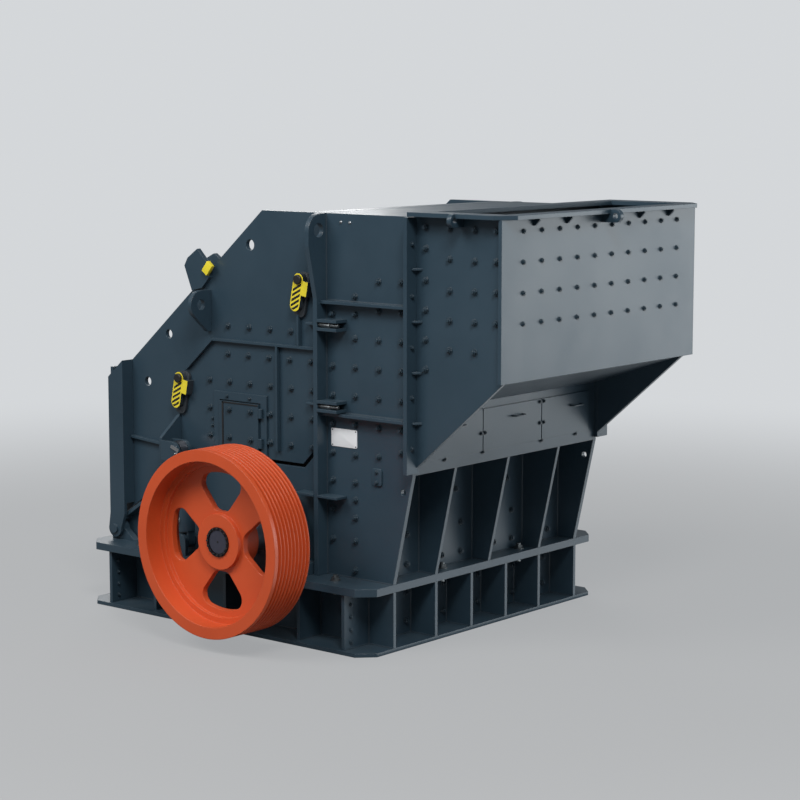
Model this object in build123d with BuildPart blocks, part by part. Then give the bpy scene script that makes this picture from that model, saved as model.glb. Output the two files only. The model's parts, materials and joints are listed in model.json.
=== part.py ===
import math
import os

from build123d import *

os.makedirs("parts", exist_ok=True)

# Horizontal shaft impact crusher. Millimetres, +Z up, origin on the ground at the centre of the base,
# +X towards the feed box, -Y towards the drive pulley.

# Base frame
TIP_CLEARANCE = 26
BASE_MARGIN = 206
BASE_HEIGHT = 350
SOLE_THICKNESS = 20
FLANGE_THICKNESS = 40
CORNER_CUT = 80
DISCHARGE_LEDGE = 50
WEB_THICKNESS = 20
END_WEB_SETBACK = 165
END_WEB_INSET = 18
RIB_THICKNESS = 20
RIB_PITCH = 300
SIDE_RIB_PITCH = 530
SIDE_RIB_INSET = 40

# Side walls of the fixed frame
WALL_THICKNESS = 25
FRAME_TOP = 2220
JOINT_X = 560
FRONT_FOOT_X = 1030
FRONT_WALL_X = 1158
FRONT_WALL_FOOT = 924
WALL_HOLE_RADIUS = 16
WALL_HOLE_EDGE = 40
WALL_HOLE_DROP = 90
LOWER_WALL_TOP = 890
LOWER_WALL_REAR_X = -840
SIDE_WALL_REAR_X = -955
JOINT_CORNER = 130

# Front of the fixed frame
FRONT_PLATE = 20
LOWER_FRONT_X = 900
FRONT_RIB_PITCH = 450
FRONT_WALL_TOP = 1265
INSPECTION_PLATE = 8
INSPECTION_JOINTS = (-234, 279)
INSPECTION_MARGIN = 60
INSPECTION_GAP = 6

# Joint flanges, feed flanges and horizontal stiffeners on the side walls
JOINT_FLANGE = 28
JOINT_FLANGE_REACH = 75
JOINT_LUG_REACH = 135
JOINT_LUG_HEIGHT = 170
JOINT_LUG_TAPER = 260
JOINT_LUG_CORNER = 90
JOINT_LUG_HOLE = (58, 85)
JOINT_LUG_HOLE_RADIUS = 36
CLAMP_HEIGHTS = (1237, 1655)
CLAMP_SPACING = 44
CLAMP_PLATE = 16
CLAMP_LENGTH = 134
CLAMP_REACH = 80
LATCH_BAR_Z = 768
LATCH_BAR_HEIGHT = 12
FEED_FLANGE = 24
FEED_FLANGE_REACH = 75
FEED_FLANGE_FOOT = 940
STIFFENER_THICKNESS = 16
STIFFENER_REACH = 50
STIFFENER_HEIGHTS = (1195, 1770)

# Feed box
FEED_FRONT_OVERHANG = 50
FEED_PLATE = 20
FEED_FRONT_X = 1746
FEED_FRONT_FOOT = 1436
FEED_RISE = 5
FEED_SIDE_FOOT = 969
RIM_THICKNESS = 22
RIM_REACH = 25
RIM_FRONT_REACH = 50
RIM_DEPTH = 90
RIM_CORNER = 85
GUSSET_LINES = (320, 590)
GUSSET_THICKNESS = 12
GUSSET_DEPTH = 36
GUSSET_REACH = 36
GUSSET_NOSE = 8
LUG_THICKNESS = 25
LUG_RADIUS = 33
FRONT_LUG_REACH = 77
SIDE_LUG_REACH = 76
LUG_HOLE_RADIUS = 15
SIDE_LUG_X = 1469
ROOF_THICKNESS = 20

# Rotor, shaft and bearings
AXIS_X = 310
AXIS_RISE = 212
SHAFT_RADIUS = 90
ROTOR_RADIUS = 400
ROTOR_WIDTH = 1400
ROTOR_SIDE_CLEARANCE = 75
TIP_RADIUS = 510
BLOW_BAR_THICKNESS = 110
BLOW_BAR_ROOT = 280
BLOW_BARS = 4
SHAFT_WALL_CLEARANCE = 25
BEARING_RADIUS = 165
BEARING_WIDTH = 165
BEARING_SETBACK = 20
BEARING_FOOT_LENGTH = 460
BEARING_FOOT_HEIGHT = 60
RUNNING_CLEARANCE = 0.3

# Drive pulley
PULLEY_RADIUS = 485
PULLEY_WIDTH = 256
PULLEY_STANDOFF = 622
RIM_WALL = 41
RIM_REAR_WALL = 20
GROOVES = 9
GROOVE_PITCH = 25.5
GROOVE_DEPTH = 20
GROOVE_TOP_WIDTH = 20
GROOVE_FLOOR_WIDTH = 9
GROOVE_EDGE = 17
PULLEY_WEB = 34
PULLEY_WEB_RECESS = 122
STEP_RING_RECESS = 100
STEP_RING_WIDTH = 32
HUB_RADIUS = 143
HUB_RECESS = 96
WINDOWS = 4
WINDOW_OUTER_RADIUS = 356
WINDOW_INNER_RADIUS = 154
WINDOW_OUTER_HALF_ANGLE = 29
WINDOW_INNER_HALF_WIDTH = 46
WINDOW_CORNER = 55
LOCK_RADIUS = 76
LOCK_WIDTH = 150
LOCK_PROUD = 6
SHAFT_END_RADIUS = 62

# Rear frame, hinged at its foot
PARTING_GAP = 10
SLOPE_TOP_X = 141
REAR_EDGE_X = -967
SLOPE_FOOT_SHARE = 0.271
PARTING_FOOT_RISE = 121
PARTING_KNEE_X = -300
PARTING_DROP = 30
PARTING_FLANGE = 22
PARTING_FLANGE_REACH = 50
PARTING_FLANGE_START_X = -883
PARTING_FLANGE_LENGTH = 323
CHEEK_FOOT = 910
COVER_THICKNESS = 20
COVER_SETBACK = 200
COLUMN_WIDTH = 114
COLUMN_REACH = 80
COLUMN_PLATE = 20
COLUMN_FOOT = 560
COLUMN_NECK = 500
REAR_FLANGE = 20
REAR_FLANGE_RISE = 55
REAR_FLANGE_DEPTH = 160
CHEEK_HOLES = ((53, 0.859, 29), (-562, 0.469, 25), (-732, 0.26, 25))
CHEEK_RIB = 14
CHEEK_RIB_REACH = 24
UPPER_RIB_SHARE = 0.466
UPPER_RIB_START_X = -222
DIAGONAL_RIB_STEP = (26, 49)
LONG_RIB_X = 253
LONG_RIB_FOOT = 960
SHORT_RIB_X = 406
SHORT_RIB_LENGTH = 163
HOOK_RIB_Z = 935
HOOK_RIB_FALL = 28
CHEEK_LUG_X = -250
CHEEK_LUG_THICKNESS = 25
CHEEK_LUG_EYE_SHARE = 0.6092
CHEEK_LUG_EYE_REACH = 77
CHEEK_LUG_RADIUS = 76
CHEEK_LUG_DROP = 147
CHEEK_LUG_ROOT = 25
CHEEK_LUG_HOLE_RADIUS = 28

# Curtains and their keepers
KEEPER_PLACES = ((436, 0.737), (-443, 0.2947))
KEEPER_WIDTH = 66
KEEPER_LENGTH = 200
KEEPER_THICKNESS = 48
KEEPER_TILT = -11
PIN_RADIUS = 28
TAB_WIDTH = 52
TAB_HEIGHT = 76
CURTAIN_SIDE_CLEARANCE = 55
CURTAIN_THICKNESS = 110
UPPER_CURTAIN_TOE = (140, 0.1985)
LOWER_CURTAIN_TOE = (-320, -0.13)
ADJUSTER_X = -358
ADJUSTER_PLATE = 25
ADJUSTER_SHAPE = ((0, -15), (-54, 163), (-30, 185), (44, 173), (112, 46), (130, -50), (75, -62))
ADJUSTER_TAB = (42, 64)
ADJUSTER_TAB_STEP = (135, 111)
ADJUSTER_TAB_TURN = 38
ADJUSTER_TAB_THICKNESS = 20
ADJUSTER_STOP = ((82, 88), (144, 65), (188, 0), (82, 0))

# Opening hinge and opening cylinders
HINGE_X = -932
HINGE_RISE = 63
HINGE_PIN_RADIUS = 26
HINGE_EYE_RADIUS = 48
HINGE_PIN_PROUD = 12
BRACKET_GAP = 7
BRACKET_THICKNESS = 40
BRACKET_FOOT = 180
CYLINDER_STANDOFF = 105
LOWER_PIN_X = -340
LOWER_PIN_RISE = 75
UPPER_PIN = (-400, 910)
CYLINDER_PIN_RADIUS = 22
CYLINDER_EYE_RADIUS = 42
EYE_WIDTH = 50
CLEVIS_PLATE = 22
CLEVIS_GAP = 6
BARREL_RADIUS = 52
BARREL_START = 50
BARREL_END_GAP = 6
ROD_RADIUS = 28
ROD_START = 78
ROD_CLEARANCE = 0.3
LOOSE_PIN_CLEARANCE = 18
ROD_EYE_RADIUS = 54
ROD_EYE_ROOM = 22
CLEVIS_GUSSET = 20
CLEVIS_GUSSET_REACH = 150
CLEVIS_GUSSET_GAP = 32

# Inspection door
DOOR_LEFT_X = -164
DOOR_RIGHT_X = 122
DOOR_FOOT = 945
DOOR_TOP = 1195
DOOR_THICKNESS = 12
DOOR_FRAME = 12
DOOR_FRAME_MARGIN = 50
DOOR_GAP = 6
DOOR_OPENING_MARGIN = 15
KNUCKLE_RADIUS = 11
KNUCKLE_LENGTH = 50
KNUCKLE_SHARES = (0.18, 0.82)

# Overrun of every cut
CUT = 5

# Places worked out from the sizes above
half_length = AXIS_X + TIP_RADIUS + TIP_CLEARANCE + WEB_THICKNESS + END_WEB_SETBACK
discharge_length = 2 * (AXIS_X + TIP_RADIUS)
wall_inner = ROTOR_WIDTH / 2 + ROTOR_SIDE_CLEARANCE
wall_outer = wall_inner + WALL_THICKNESS
half_width = wall_outer + BASE_MARGIN
discharge_width = 2 * (wall_outer - DISCHARGE_LEDGE)
flange_foot = BASE_HEIGHT - FLANGE_THICKNESS
end_web_x = half_length - END_WEB_SETBACK
web_height = flange_foot - SOLE_THICKNESS
feed_inner = wall_outer - FEED_PLATE
feed_front_half = wall_outer + FEED_FRONT_OVERHANG
feed_rear_x = FRONT_WALL_X + FEED_FLANGE
feed_top = FRAME_TOP + FEED_RISE
axis_z = BASE_HEIGHT + AXIS_RISE
cheek_front_x = JOINT_X - PARTING_GAP
pulley_face_y = -wall_outer - PULLEY_STANDOFF
cylinder_y = -wall_outer - CYLINDER_STANDOFF
lower_pin = (LOWER_PIN_X, BASE_HEIGHT + LOWER_PIN_RISE)
hinge_z = BASE_HEIGHT + HINGE_RISE
cheek_height = FRAME_TOP - CHEEK_FOOT
parting_foot_z = BASE_HEIGHT + PARTING_FOOT_RISE


def outline(plane, points):
    """A flat face with straight sides on a plane."""
    with BuildSketch(plane) as profile:
        with BuildLine():
            Polyline(*points, close=True)
        make_face()
    return profile.sketch


def on_cheek(share):
    """A height on the rear cheeks, as a share of the way up from their foot."""
    return CHEEK_FOOT + share * cheek_height


def rectangle(low_u, high_u, low_v, high_v):
    """The corners of an upright rectangle."""
    return [(low_u, low_v), (high_u, low_v), (high_u, high_v), (low_u, high_v)]


def side_plane(y):
    """The upright plane whose plates lie against the near side and grow away from the machine."""
    return Plane.XZ.offset(y)


def keep(piece, name):
    """Label a finished piece and write it to its own file."""
    piece.part.label = name
    export_step(piece.part, f"parts/{name}.step")


# Base frame: sole plate, webs, ribs and top flange
def base_ring(z, thickness):
    """The base outline with cut corners, open at the discharge."""
    with BuildPart() as ring:
        with BuildSketch(Plane.XY.offset(z)):
            with BuildLine():
                Polyline(
                    (-half_length + CORNER_CUT, -half_width),
                    (half_length - CORNER_CUT, -half_width),
                    (half_length, -half_width + CORNER_CUT),
                    (half_length, half_width - CORNER_CUT),
                    (half_length - CORNER_CUT, half_width),
                    (-half_length + CORNER_CUT, half_width),
                    (-half_length, half_width - CORNER_CUT),
                    (-half_length, -half_width + CORNER_CUT),
                    close=True,
                )
            make_face()
            Rectangle(discharge_length, discharge_width, mode=Mode.SUBTRACT)
        extrude(amount=thickness)
    return ring


sole_plate = base_ring(0, SOLE_THICKNESS)
keep(sole_plate, "sole_plate")

top_flange = base_ring(flange_foot, FLANGE_THICKNESS)
keep(top_flange, "top_flange")

with BuildPart() as base_end_webs:
    with BuildSketch(Plane.XY.offset(SOLE_THICKNESS)):
        with Locations((end_web_x - WEB_THICKNESS / 2, 0)):
            Rectangle(WEB_THICKNESS, 2 * (half_width - END_WEB_INSET))
    extrude(amount=web_height)
    mirror(about=Plane.YZ)
keep(base_end_webs, "base_end_webs")

with BuildPart() as base_side_webs:
    with BuildSketch(Plane.XY.offset(SOLE_THICKNESS)):
        with Locations((0, wall_outer - WEB_THICKNESS / 2)):
            Rectangle(2 * (end_web_x - WEB_THICKNESS), WEB_THICKNESS)
    extrude(amount=web_height)
    mirror(about=Plane.XZ)
keep(base_side_webs, "base_side_webs")

wall_line = wall_outer - WALL_THICKNESS / 2
rib_lines = [RIB_PITCH / 2, 3 * RIB_PITCH / 2, wall_line]
side_rib_depth = half_width - SIDE_RIB_INSET - wall_outer
with BuildPart() as base_ribs:
    with BuildSketch(Plane.XY.offset(SOLE_THICKNESS)):
        for line in rib_lines:
            with Locations((end_web_x + END_WEB_SETBACK / 2, line)):
                Rectangle(END_WEB_SETBACK, RIB_THICKNESS)
        mirror(about=Plane.XZ)
        mirror(about=Plane.YZ)
    extrude(amount=web_height)
    with BuildSketch(Plane.XY.offset(SOLE_THICKNESS)):
        for step in (-1, 0, 1):
            with Locations((step * SIDE_RIB_PITCH, wall_outer + side_rib_depth / 2)):
                Rectangle(RIB_THICKNESS, side_rib_depth)
        mirror(about=Plane.XZ)
    extrude(amount=web_height)
keep(base_ribs, "base_ribs")

# Fixed side walls, with their sloped front edge and a round hole near it
front_lean = (FRONT_WALL_X - FRONT_FOOT_X) / (FRONT_WALL_FOOT - BASE_HEIGHT)
wall_hole_z = FRONT_WALL_FOOT - WALL_HOLE_DROP
wall_hole_x = FRONT_WALL_X - WALL_HOLE_DROP * front_lean - WALL_HOLE_EDGE
with BuildPart() as main_side_wall_near:
    wall_points = [
        (JOINT_X, BASE_HEIGHT),
        (FRONT_FOOT_X, BASE_HEIGHT),
        (FRONT_WALL_X, FRONT_WALL_FOOT),
        (FRONT_WALL_X, FRAME_TOP),
        (JOINT_X, FRAME_TOP),
    ]
    extrude(outline(side_plane(wall_inner), wall_points), amount=WALL_THICKNESS)
    with BuildSketch(side_plane(wall_inner)):
        with Locations((wall_hole_x, wall_hole_z)):
            Circle(WALL_HOLE_RADIUS)
    extrude(amount=WALL_THICKNESS, mode=Mode.SUBTRACT)
keep(main_side_wall_near, "main_side_wall_near")

with BuildPart() as main_side_wall_far:
    mirror(main_side_wall_near.part, about=Plane.XZ)
keep(main_side_wall_far, "main_side_wall_far")

# Lower side walls beside the rotor, with a round opening for the shaft and a sloped rear edge under the cheeks
parting_steepness = (CHEEK_FOOT - parting_foot_z) / (PARTING_KNEE_X - REAR_EDGE_X)


def wall_edge_z(x):
    """Height of the lower side walls along their sloped rear edge."""
    return parting_foot_z - PARTING_DROP + (x - REAR_EDGE_X) * parting_steepness


wall_knee_x = REAR_EDGE_X + (LOWER_WALL_TOP - parting_foot_z + PARTING_DROP) / parting_steepness
rear_wall_top = wall_edge_z(LOWER_WALL_REAR_X)
shaft_hole = SHAFT_RADIUS + SHAFT_WALL_CLEARANCE
with BuildPart() as lower_side_walls:
    lower_points = [
        (SIDE_WALL_REAR_X, BASE_HEIGHT),
        (JOINT_X, BASE_HEIGHT),
        (JOINT_X, LOWER_WALL_TOP + JOINT_CORNER),
        (JOINT_X - JOINT_CORNER, LOWER_WALL_TOP),
        (wall_knee_x, LOWER_WALL_TOP),
        (SIDE_WALL_REAR_X, wall_edge_z(SIDE_WALL_REAR_X)),
    ]
    extrude(outline(side_plane(wall_inner), lower_points), amount=WALL_THICKNESS)
    with BuildSketch(side_plane(wall_inner)):
        with Locations((AXIS_X, axis_z)):
            Circle(shaft_hole)
    extrude(amount=WALL_THICKNESS, mode=Mode.SUBTRACT)
    mirror(about=Plane.XZ)
keep(lower_side_walls, "lower_side_walls")

with BuildPart() as parting_flanges:
    flange_end_x = PARTING_FLANGE_START_X + PARTING_FLANGE_LENGTH
    flange_start_z = wall_edge_z(PARTING_FLANGE_START_X)
    parting_points = [
        (PARTING_FLANGE_START_X, flange_start_z - PARTING_FLANGE),
        (flange_end_x, wall_edge_z(flange_end_x) - PARTING_FLANGE),
        (flange_end_x, wall_edge_z(flange_end_x)),
        (PARTING_FLANGE_START_X, flange_start_z),
    ]
    extrude(outline(side_plane(wall_outer), parting_points), amount=PARTING_FLANGE_REACH)
    mirror(about=Plane.XZ)
keep(parting_flanges, "parting_flanges")

with BuildPart() as rear_lower_wall:
    rear_wall_points = rectangle(-wall_inner, wall_inner, BASE_HEIGHT, rear_wall_top)
    extrude(outline(Plane.YZ.offset(LOWER_WALL_REAR_X), rear_wall_points), amount=WALL_THICKNESS)
keep(rear_lower_wall, "rear_lower_wall")

# Front of the fixed frame: recessed lower wall, sloped ribs, upright wall with inspection plates
with BuildPart() as front_lower_wall:
    lower_front_points = rectangle(-wall_inner, wall_inner, BASE_HEIGHT, FRONT_WALL_FOOT)
    extrude(outline(Plane.YZ.offset(LOWER_FRONT_X), lower_front_points), amount=FRONT_PLATE)
keep(front_lower_wall, "front_lower_wall")

with BuildPart() as front_ribs:
    rib_points = [
        (LOWER_FRONT_X + FRONT_PLATE, BASE_HEIGHT),
        (FRONT_FOOT_X, BASE_HEIGHT),
        (FRONT_WALL_X, FRONT_WALL_FOOT),
        (LOWER_FRONT_X + FRONT_PLATE, FRONT_WALL_FOOT),
    ]
    for step in (-1, 0, 1):
        rib_plane = side_plane(step * FRONT_RIB_PITCH - RIB_THICKNESS / 2)
        extrude(outline(rib_plane, rib_points), amount=RIB_THICKNESS)
keep(front_ribs, "front_ribs")

with BuildPart() as front_shelf:
    shelf_points = [
        (LOWER_FRONT_X, -wall_inner),
        (FRONT_WALL_X - FRONT_PLATE, -wall_inner),
        (FRONT_WALL_X - FRONT_PLATE, wall_inner),
        (LOWER_FRONT_X, wall_inner),
    ]
    extrude(outline(Plane.XY.offset(FRONT_WALL_FOOT), shelf_points), amount=FRONT_PLATE)
keep(front_shelf, "front_shelf")

with BuildPart() as front_wall:
    front_wall_points = rectangle(-wall_inner, wall_inner, FRONT_WALL_FOOT, FRONT_WALL_TOP)
    extrude(outline(Plane.YZ.offset(FRONT_WALL_X - FRONT_PLATE), front_wall_points), amount=FRONT_PLATE)
keep(front_wall, "front_wall")

plate_foot = FRONT_WALL_FOOT + INSPECTION_MARGIN
plate_top = FRONT_WALL_TOP - INSPECTION_MARGIN
plate_edges = (-wall_inner + INSPECTION_MARGIN, *INSPECTION_JOINTS, wall_inner - INSPECTION_MARGIN)
with BuildPart() as inspection_plates:
    for left, right in zip(plate_edges[:-1], plate_edges[1:]):
        plate_points = rectangle(left + INSPECTION_GAP / 2, right - INSPECTION_GAP / 2, plate_foot, plate_top)
        extrude(outline(Plane.YZ.offset(FRONT_WALL_X), plate_points), amount=INSPECTION_PLATE)
keep(inspection_plates, "inspection_plates")

# Joint flanges down the parting line, each ending in a lifting lug at the top
joint_flange_outer = wall_outer + JOINT_FLANGE_REACH
joint_lug_outer = wall_outer + JOINT_LUG_REACH
joint_lug_foot = FRAME_TOP - JOINT_LUG_HEIGHT
with BuildPart() as joint_flanges:
    flange_points = [
        (-wall_outer, BASE_HEIGHT),
        (-joint_flange_outer, BASE_HEIGHT),
        (-joint_flange_outer, joint_lug_foot - JOINT_LUG_TAPER),
        (-joint_lug_outer, joint_lug_foot),
        (-joint_lug_outer, FRAME_TOP),
        (-wall_outer, FRAME_TOP),
    ]
    with BuildSketch(Plane.YZ.offset(JOINT_X)) as joint_flange:
        with BuildLine():
            Polyline(*flange_points, close=True)
        make_face()
        lug_ends = joint_flange.vertices().filter_by_position(
            Axis.X, -joint_lug_outer - CUT, -joint_lug_outer + CUT
        )
        fillet(lug_ends, radius=JOINT_LUG_CORNER)
        with Locations((-wall_outer - JOINT_LUG_HOLE[0], FRAME_TOP - JOINT_LUG_HOLE[1])):
            Circle(JOINT_LUG_HOLE_RADIUS, mode=Mode.SUBTRACT)
    extrude(amount=JOINT_FLANGE)
    mirror(about=Plane.XZ)
keep(joint_flanges, "joint_flanges")

# Clamps on the joint flanges: pairs of flat plates for the clamping bolts, and a latch bar below them
clamp_x = JOINT_X + JOINT_FLANGE
with BuildPart() as joint_clamps:
    for height in CLAMP_HEIGHTS:
        for step in (-1, 1):
            plate_z = height + step * CLAMP_SPACING / 2 - CLAMP_PLATE / 2
            clamp_points = rectangle(clamp_x, clamp_x + CLAMP_LENGTH, -wall_outer - CLAMP_REACH, -wall_outer)
            extrude(outline(Plane.XY.offset(plate_z), clamp_points), amount=CLAMP_PLATE)
    latch_foot = LATCH_BAR_Z - LATCH_BAR_HEIGHT / 2
    latch_top = LATCH_BAR_Z + LATCH_BAR_HEIGHT / 2
    for start in (clamp_x, JOINT_X - CLAMP_LENGTH):
        bar_points = rectangle(start, start + CLAMP_LENGTH, latch_foot, latch_top)
        extrude(outline(side_plane(wall_outer), bar_points), amount=CLAMP_REACH)
    mirror(about=Plane.XZ)
keep(joint_clamps, "joint_clamps")

# Feed flanges: upright flanges that carry the feed box on the side walls
with BuildPart() as feed_flanges:
    feed_flange_points = rectangle(
        -wall_outer - FEED_FLANGE_REACH, -feed_inner, FEED_FLANGE_FOOT, FRAME_TOP
    )
    extrude(outline(Plane.YZ.offset(FRONT_WALL_X), feed_flange_points), amount=FEED_FLANGE)
    mirror(about=Plane.XZ)
keep(feed_flanges, "feed_flanges")

with BuildPart() as wall_stiffeners:
    for height in STIFFENER_HEIGHTS:
        stiffener_points = [
            (JOINT_X + JOINT_FLANGE, -wall_outer),
            (JOINT_X + JOINT_FLANGE, -wall_outer - STIFFENER_REACH),
            (FRONT_WALL_X, -wall_outer - STIFFENER_REACH),
            (FRONT_WALL_X, -wall_outer),
        ]
        stiffener_plane = Plane.XY.offset(height - STIFFENER_THICKNESS / 2)
        extrude(outline(stiffener_plane, stiffener_points), amount=STIFFENER_THICKNESS)
    mirror(about=Plane.XZ)
keep(wall_stiffeners, "wall_stiffeners")

# Roof of the fixed frame
with BuildPart() as roof_plate:
    roof_points = rectangle(JOINT_X, feed_rear_x, -wall_inner, wall_inner)
    extrude(outline(Plane.XY.offset(FRAME_TOP - ROOF_THICKNESS), roof_points), amount=ROOF_THICKNESS)
keep(roof_plate, "roof_plate")

# Feed box: front panel that overlaps the side panels, sloped floor, rim and lifting lugs
with BuildPart() as feed_box_front:
    feed_front_points = rectangle(-feed_front_half, feed_front_half, FEED_FRONT_FOOT, feed_top)
    extrude(outline(Plane.YZ.offset(FEED_FRONT_X - FEED_PLATE), feed_front_points), amount=FEED_PLATE)
keep(feed_box_front, "feed_box_front")

with BuildPart() as feed_box_side_near:
    feed_side_points = [
        (feed_rear_x, FEED_SIDE_FOOT),
        (FEED_FRONT_X - FEED_PLATE, FEED_FRONT_FOOT),
        (FEED_FRONT_X - FEED_PLATE, feed_top),
        (feed_rear_x, feed_top),
    ]
    extrude(outline(side_plane(feed_inner), feed_side_points), amount=FEED_PLATE)
keep(feed_box_side_near, "feed_box_side_near")

with BuildPart() as feed_box_side_far:
    mirror(feed_box_side_near.part, about=Plane.XZ)
keep(feed_box_side_far, "feed_box_side_far")

with BuildPart() as feed_box_floor:
    floor_points = [
        (FRONT_WALL_X, FRONT_WALL_TOP - FEED_PLATE),
        (FEED_FRONT_X - FEED_PLATE, FEED_FRONT_FOOT),
        (FEED_FRONT_X - FEED_PLATE, FEED_FRONT_FOOT + FEED_PLATE),
        (FRONT_WALL_X, FRONT_WALL_TOP),
    ]
    extrude(outline(side_plane(-feed_inner), floor_points), amount=2 * feed_inner)
keep(feed_box_floor, "feed_box_floor")

rim_outer = feed_front_half + RIM_REACH
rim_front_x = FEED_FRONT_X + RIM_FRONT_REACH
with BuildPart() as feed_box_rim:
    with BuildSketch(Plane.XY.offset(feed_top)):
        with BuildLine():
            Polyline(
                (feed_rear_x, -rim_outer),
                (rim_front_x - RIM_CORNER, -rim_outer),
                (rim_front_x, -rim_outer + RIM_CORNER),
                (rim_front_x, rim_outer - RIM_CORNER),
                (rim_front_x - RIM_CORNER, rim_outer),
                (feed_rear_x, rim_outer),
                close=True,
            )
        make_face()
        with BuildLine():
            Polyline(
                (feed_rear_x + RIM_DEPTH, -feed_inner + RIM_REACH),
                (FEED_FRONT_X - FEED_PLATE - RIM_REACH, -feed_inner + RIM_REACH),
                (FEED_FRONT_X - FEED_PLATE - RIM_REACH, feed_inner - RIM_REACH),
                (feed_rear_x + RIM_DEPTH, feed_inner - RIM_REACH),
                close=True,
            )
        make_face(mode=Mode.SUBTRACT)
    extrude(amount=RIM_THICKNESS)
    with BuildSketch(Plane.XY.offset(feed_top)):
        with Locations((FEED_FRONT_X + RIM_FRONT_REACH / 2, 0)):
            Rectangle(RIM_FRONT_REACH, LUG_THICKNESS)
        for side in (-1, 1):
            with Locations((SIDE_LUG_X, side * (wall_outer + (rim_outer - wall_outer) / 2))):
                Rectangle(LUG_THICKNESS, rim_outer - wall_outer)
    extrude(amount=RIM_THICKNESS, mode=Mode.SUBTRACT)
keep(feed_box_rim, "feed_box_rim")

with BuildPart() as rim_gussets:
    rim_gusset_points = [
        (FEED_FRONT_X, feed_top - GUSSET_DEPTH),
        (FEED_FRONT_X + GUSSET_NOSE, feed_top - GUSSET_DEPTH),
        (FEED_FRONT_X + GUSSET_REACH, feed_top - GUSSET_NOSE),
        (FEED_FRONT_X + GUSSET_REACH, feed_top),
        (FEED_FRONT_X, feed_top),
    ]
    for line in GUSSET_LINES:
        extrude(outline(side_plane(line - GUSSET_THICKNESS / 2), rim_gusset_points), amount=GUSSET_THICKNESS)
    mirror(about=Plane.XZ)
keep(rim_gussets, "rim_gussets")

lug_z = feed_top + RIM_THICKNESS - LUG_RADIUS
with BuildPart() as feed_box_lugs:
    with BuildSketch(side_plane(-LUG_THICKNESS / 2)):
        with Locations((FEED_FRONT_X + FRONT_LUG_REACH, lug_z)):
            Circle(LUG_RADIUS)
        with Locations((FEED_FRONT_X + FRONT_LUG_REACH / 2, lug_z)):
            Rectangle(FRONT_LUG_REACH, 2 * LUG_RADIUS)
        with Locations((FEED_FRONT_X + FRONT_LUG_REACH, lug_z)):
            Circle(LUG_HOLE_RADIUS, mode=Mode.SUBTRACT)
    extrude(amount=LUG_THICKNESS)
    with BuildSketch(Plane.YZ.offset(SIDE_LUG_X - LUG_THICKNESS / 2)):
        for side in (-1, 1):
            with Locations((side * (wall_outer + SIDE_LUG_REACH), lug_z)):
                Circle(LUG_RADIUS)
            with Locations((side * (wall_outer + SIDE_LUG_REACH / 2), lug_z)):
                Rectangle(SIDE_LUG_REACH, 2 * LUG_RADIUS)
            with Locations((side * (wall_outer + SIDE_LUG_REACH), lug_z)):
                Circle(LUG_HOLE_RADIUS, mode=Mode.SUBTRACT)
    extrude(amount=LUG_THICKNESS)
keep(feed_box_lugs, "feed_box_lugs")

# Rotor: shaft, drum with slots, blow bars
bearing_y = wall_outer + BEARING_SETBACK
pulley_rear_y = pulley_face_y + PULLEY_WIDTH
hub_face_y = pulley_face_y + HUB_RECESS
with BuildPart() as rotor_shaft:
    with BuildSketch(side_plane(-hub_face_y)):
        with Locations((AXIS_X, axis_z)):
            Circle(SHAFT_END_RADIUS)
    extrude(amount=-(LOCK_WIDTH + LOCK_PROUD))
    with BuildSketch(side_plane(-hub_face_y - LOCK_WIDTH)):
        with Locations((AXIS_X, axis_z)):
            Circle(SHAFT_RADIUS)
    extrude(amount=hub_face_y + LOCK_WIDTH - bearing_y - BEARING_WIDTH - BEARING_SETBACK)
keep(rotor_shaft, "rotor_shaft")

with BuildPart() as blow_bars:
    with BuildSketch(side_plane(-ROTOR_WIDTH / 2)):
        with Locations((AXIS_X, axis_z)):
            with PolarLocations((TIP_RADIUS + BLOW_BAR_ROOT) / 2, BLOW_BARS, start_angle=45):
                Rectangle(TIP_RADIUS - BLOW_BAR_ROOT, BLOW_BAR_THICKNESS)
    extrude(amount=ROTOR_WIDTH)
keep(blow_bars, "blow_bars")

with BuildPart() as rotor_drum:
    with BuildSketch(side_plane(-ROTOR_WIDTH / 2)):
        with Locations((AXIS_X, axis_z)):
            Circle(ROTOR_RADIUS)
            Circle(SHAFT_RADIUS, mode=Mode.SUBTRACT)
            with PolarLocations((TIP_RADIUS + BLOW_BAR_ROOT) / 2, BLOW_BARS, start_angle=45):
                Rectangle(TIP_RADIUS - BLOW_BAR_ROOT, BLOW_BAR_THICKNESS, mode=Mode.SUBTRACT)
    extrude(amount=ROTOR_WIDTH)
keep(rotor_drum, "rotor_drum")

# Bearing housings on the top flange, one outside each lower side wall
with BuildPart() as bearing_housings:
    with BuildSketch(side_plane(bearing_y)):
        with Locations((AXIS_X, axis_z)):
            Circle(BEARING_RADIUS)
        with Locations((AXIS_X, (axis_z + BASE_HEIGHT) / 2)):
            Rectangle(2 * BEARING_RADIUS, axis_z - BASE_HEIGHT)
        with Locations((AXIS_X, BASE_HEIGHT + BEARING_FOOT_HEIGHT / 2)):
            Rectangle(BEARING_FOOT_LENGTH, BEARING_FOOT_HEIGHT)
        with Locations((AXIS_X, axis_z)):
            Circle(SHAFT_RADIUS + RUNNING_CLEARANCE, mode=Mode.SUBTRACT)
    extrude(amount=BEARING_WIDTH)
    mirror(about=Plane.XZ)
keep(bearing_housings, "bearing_housings")

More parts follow.
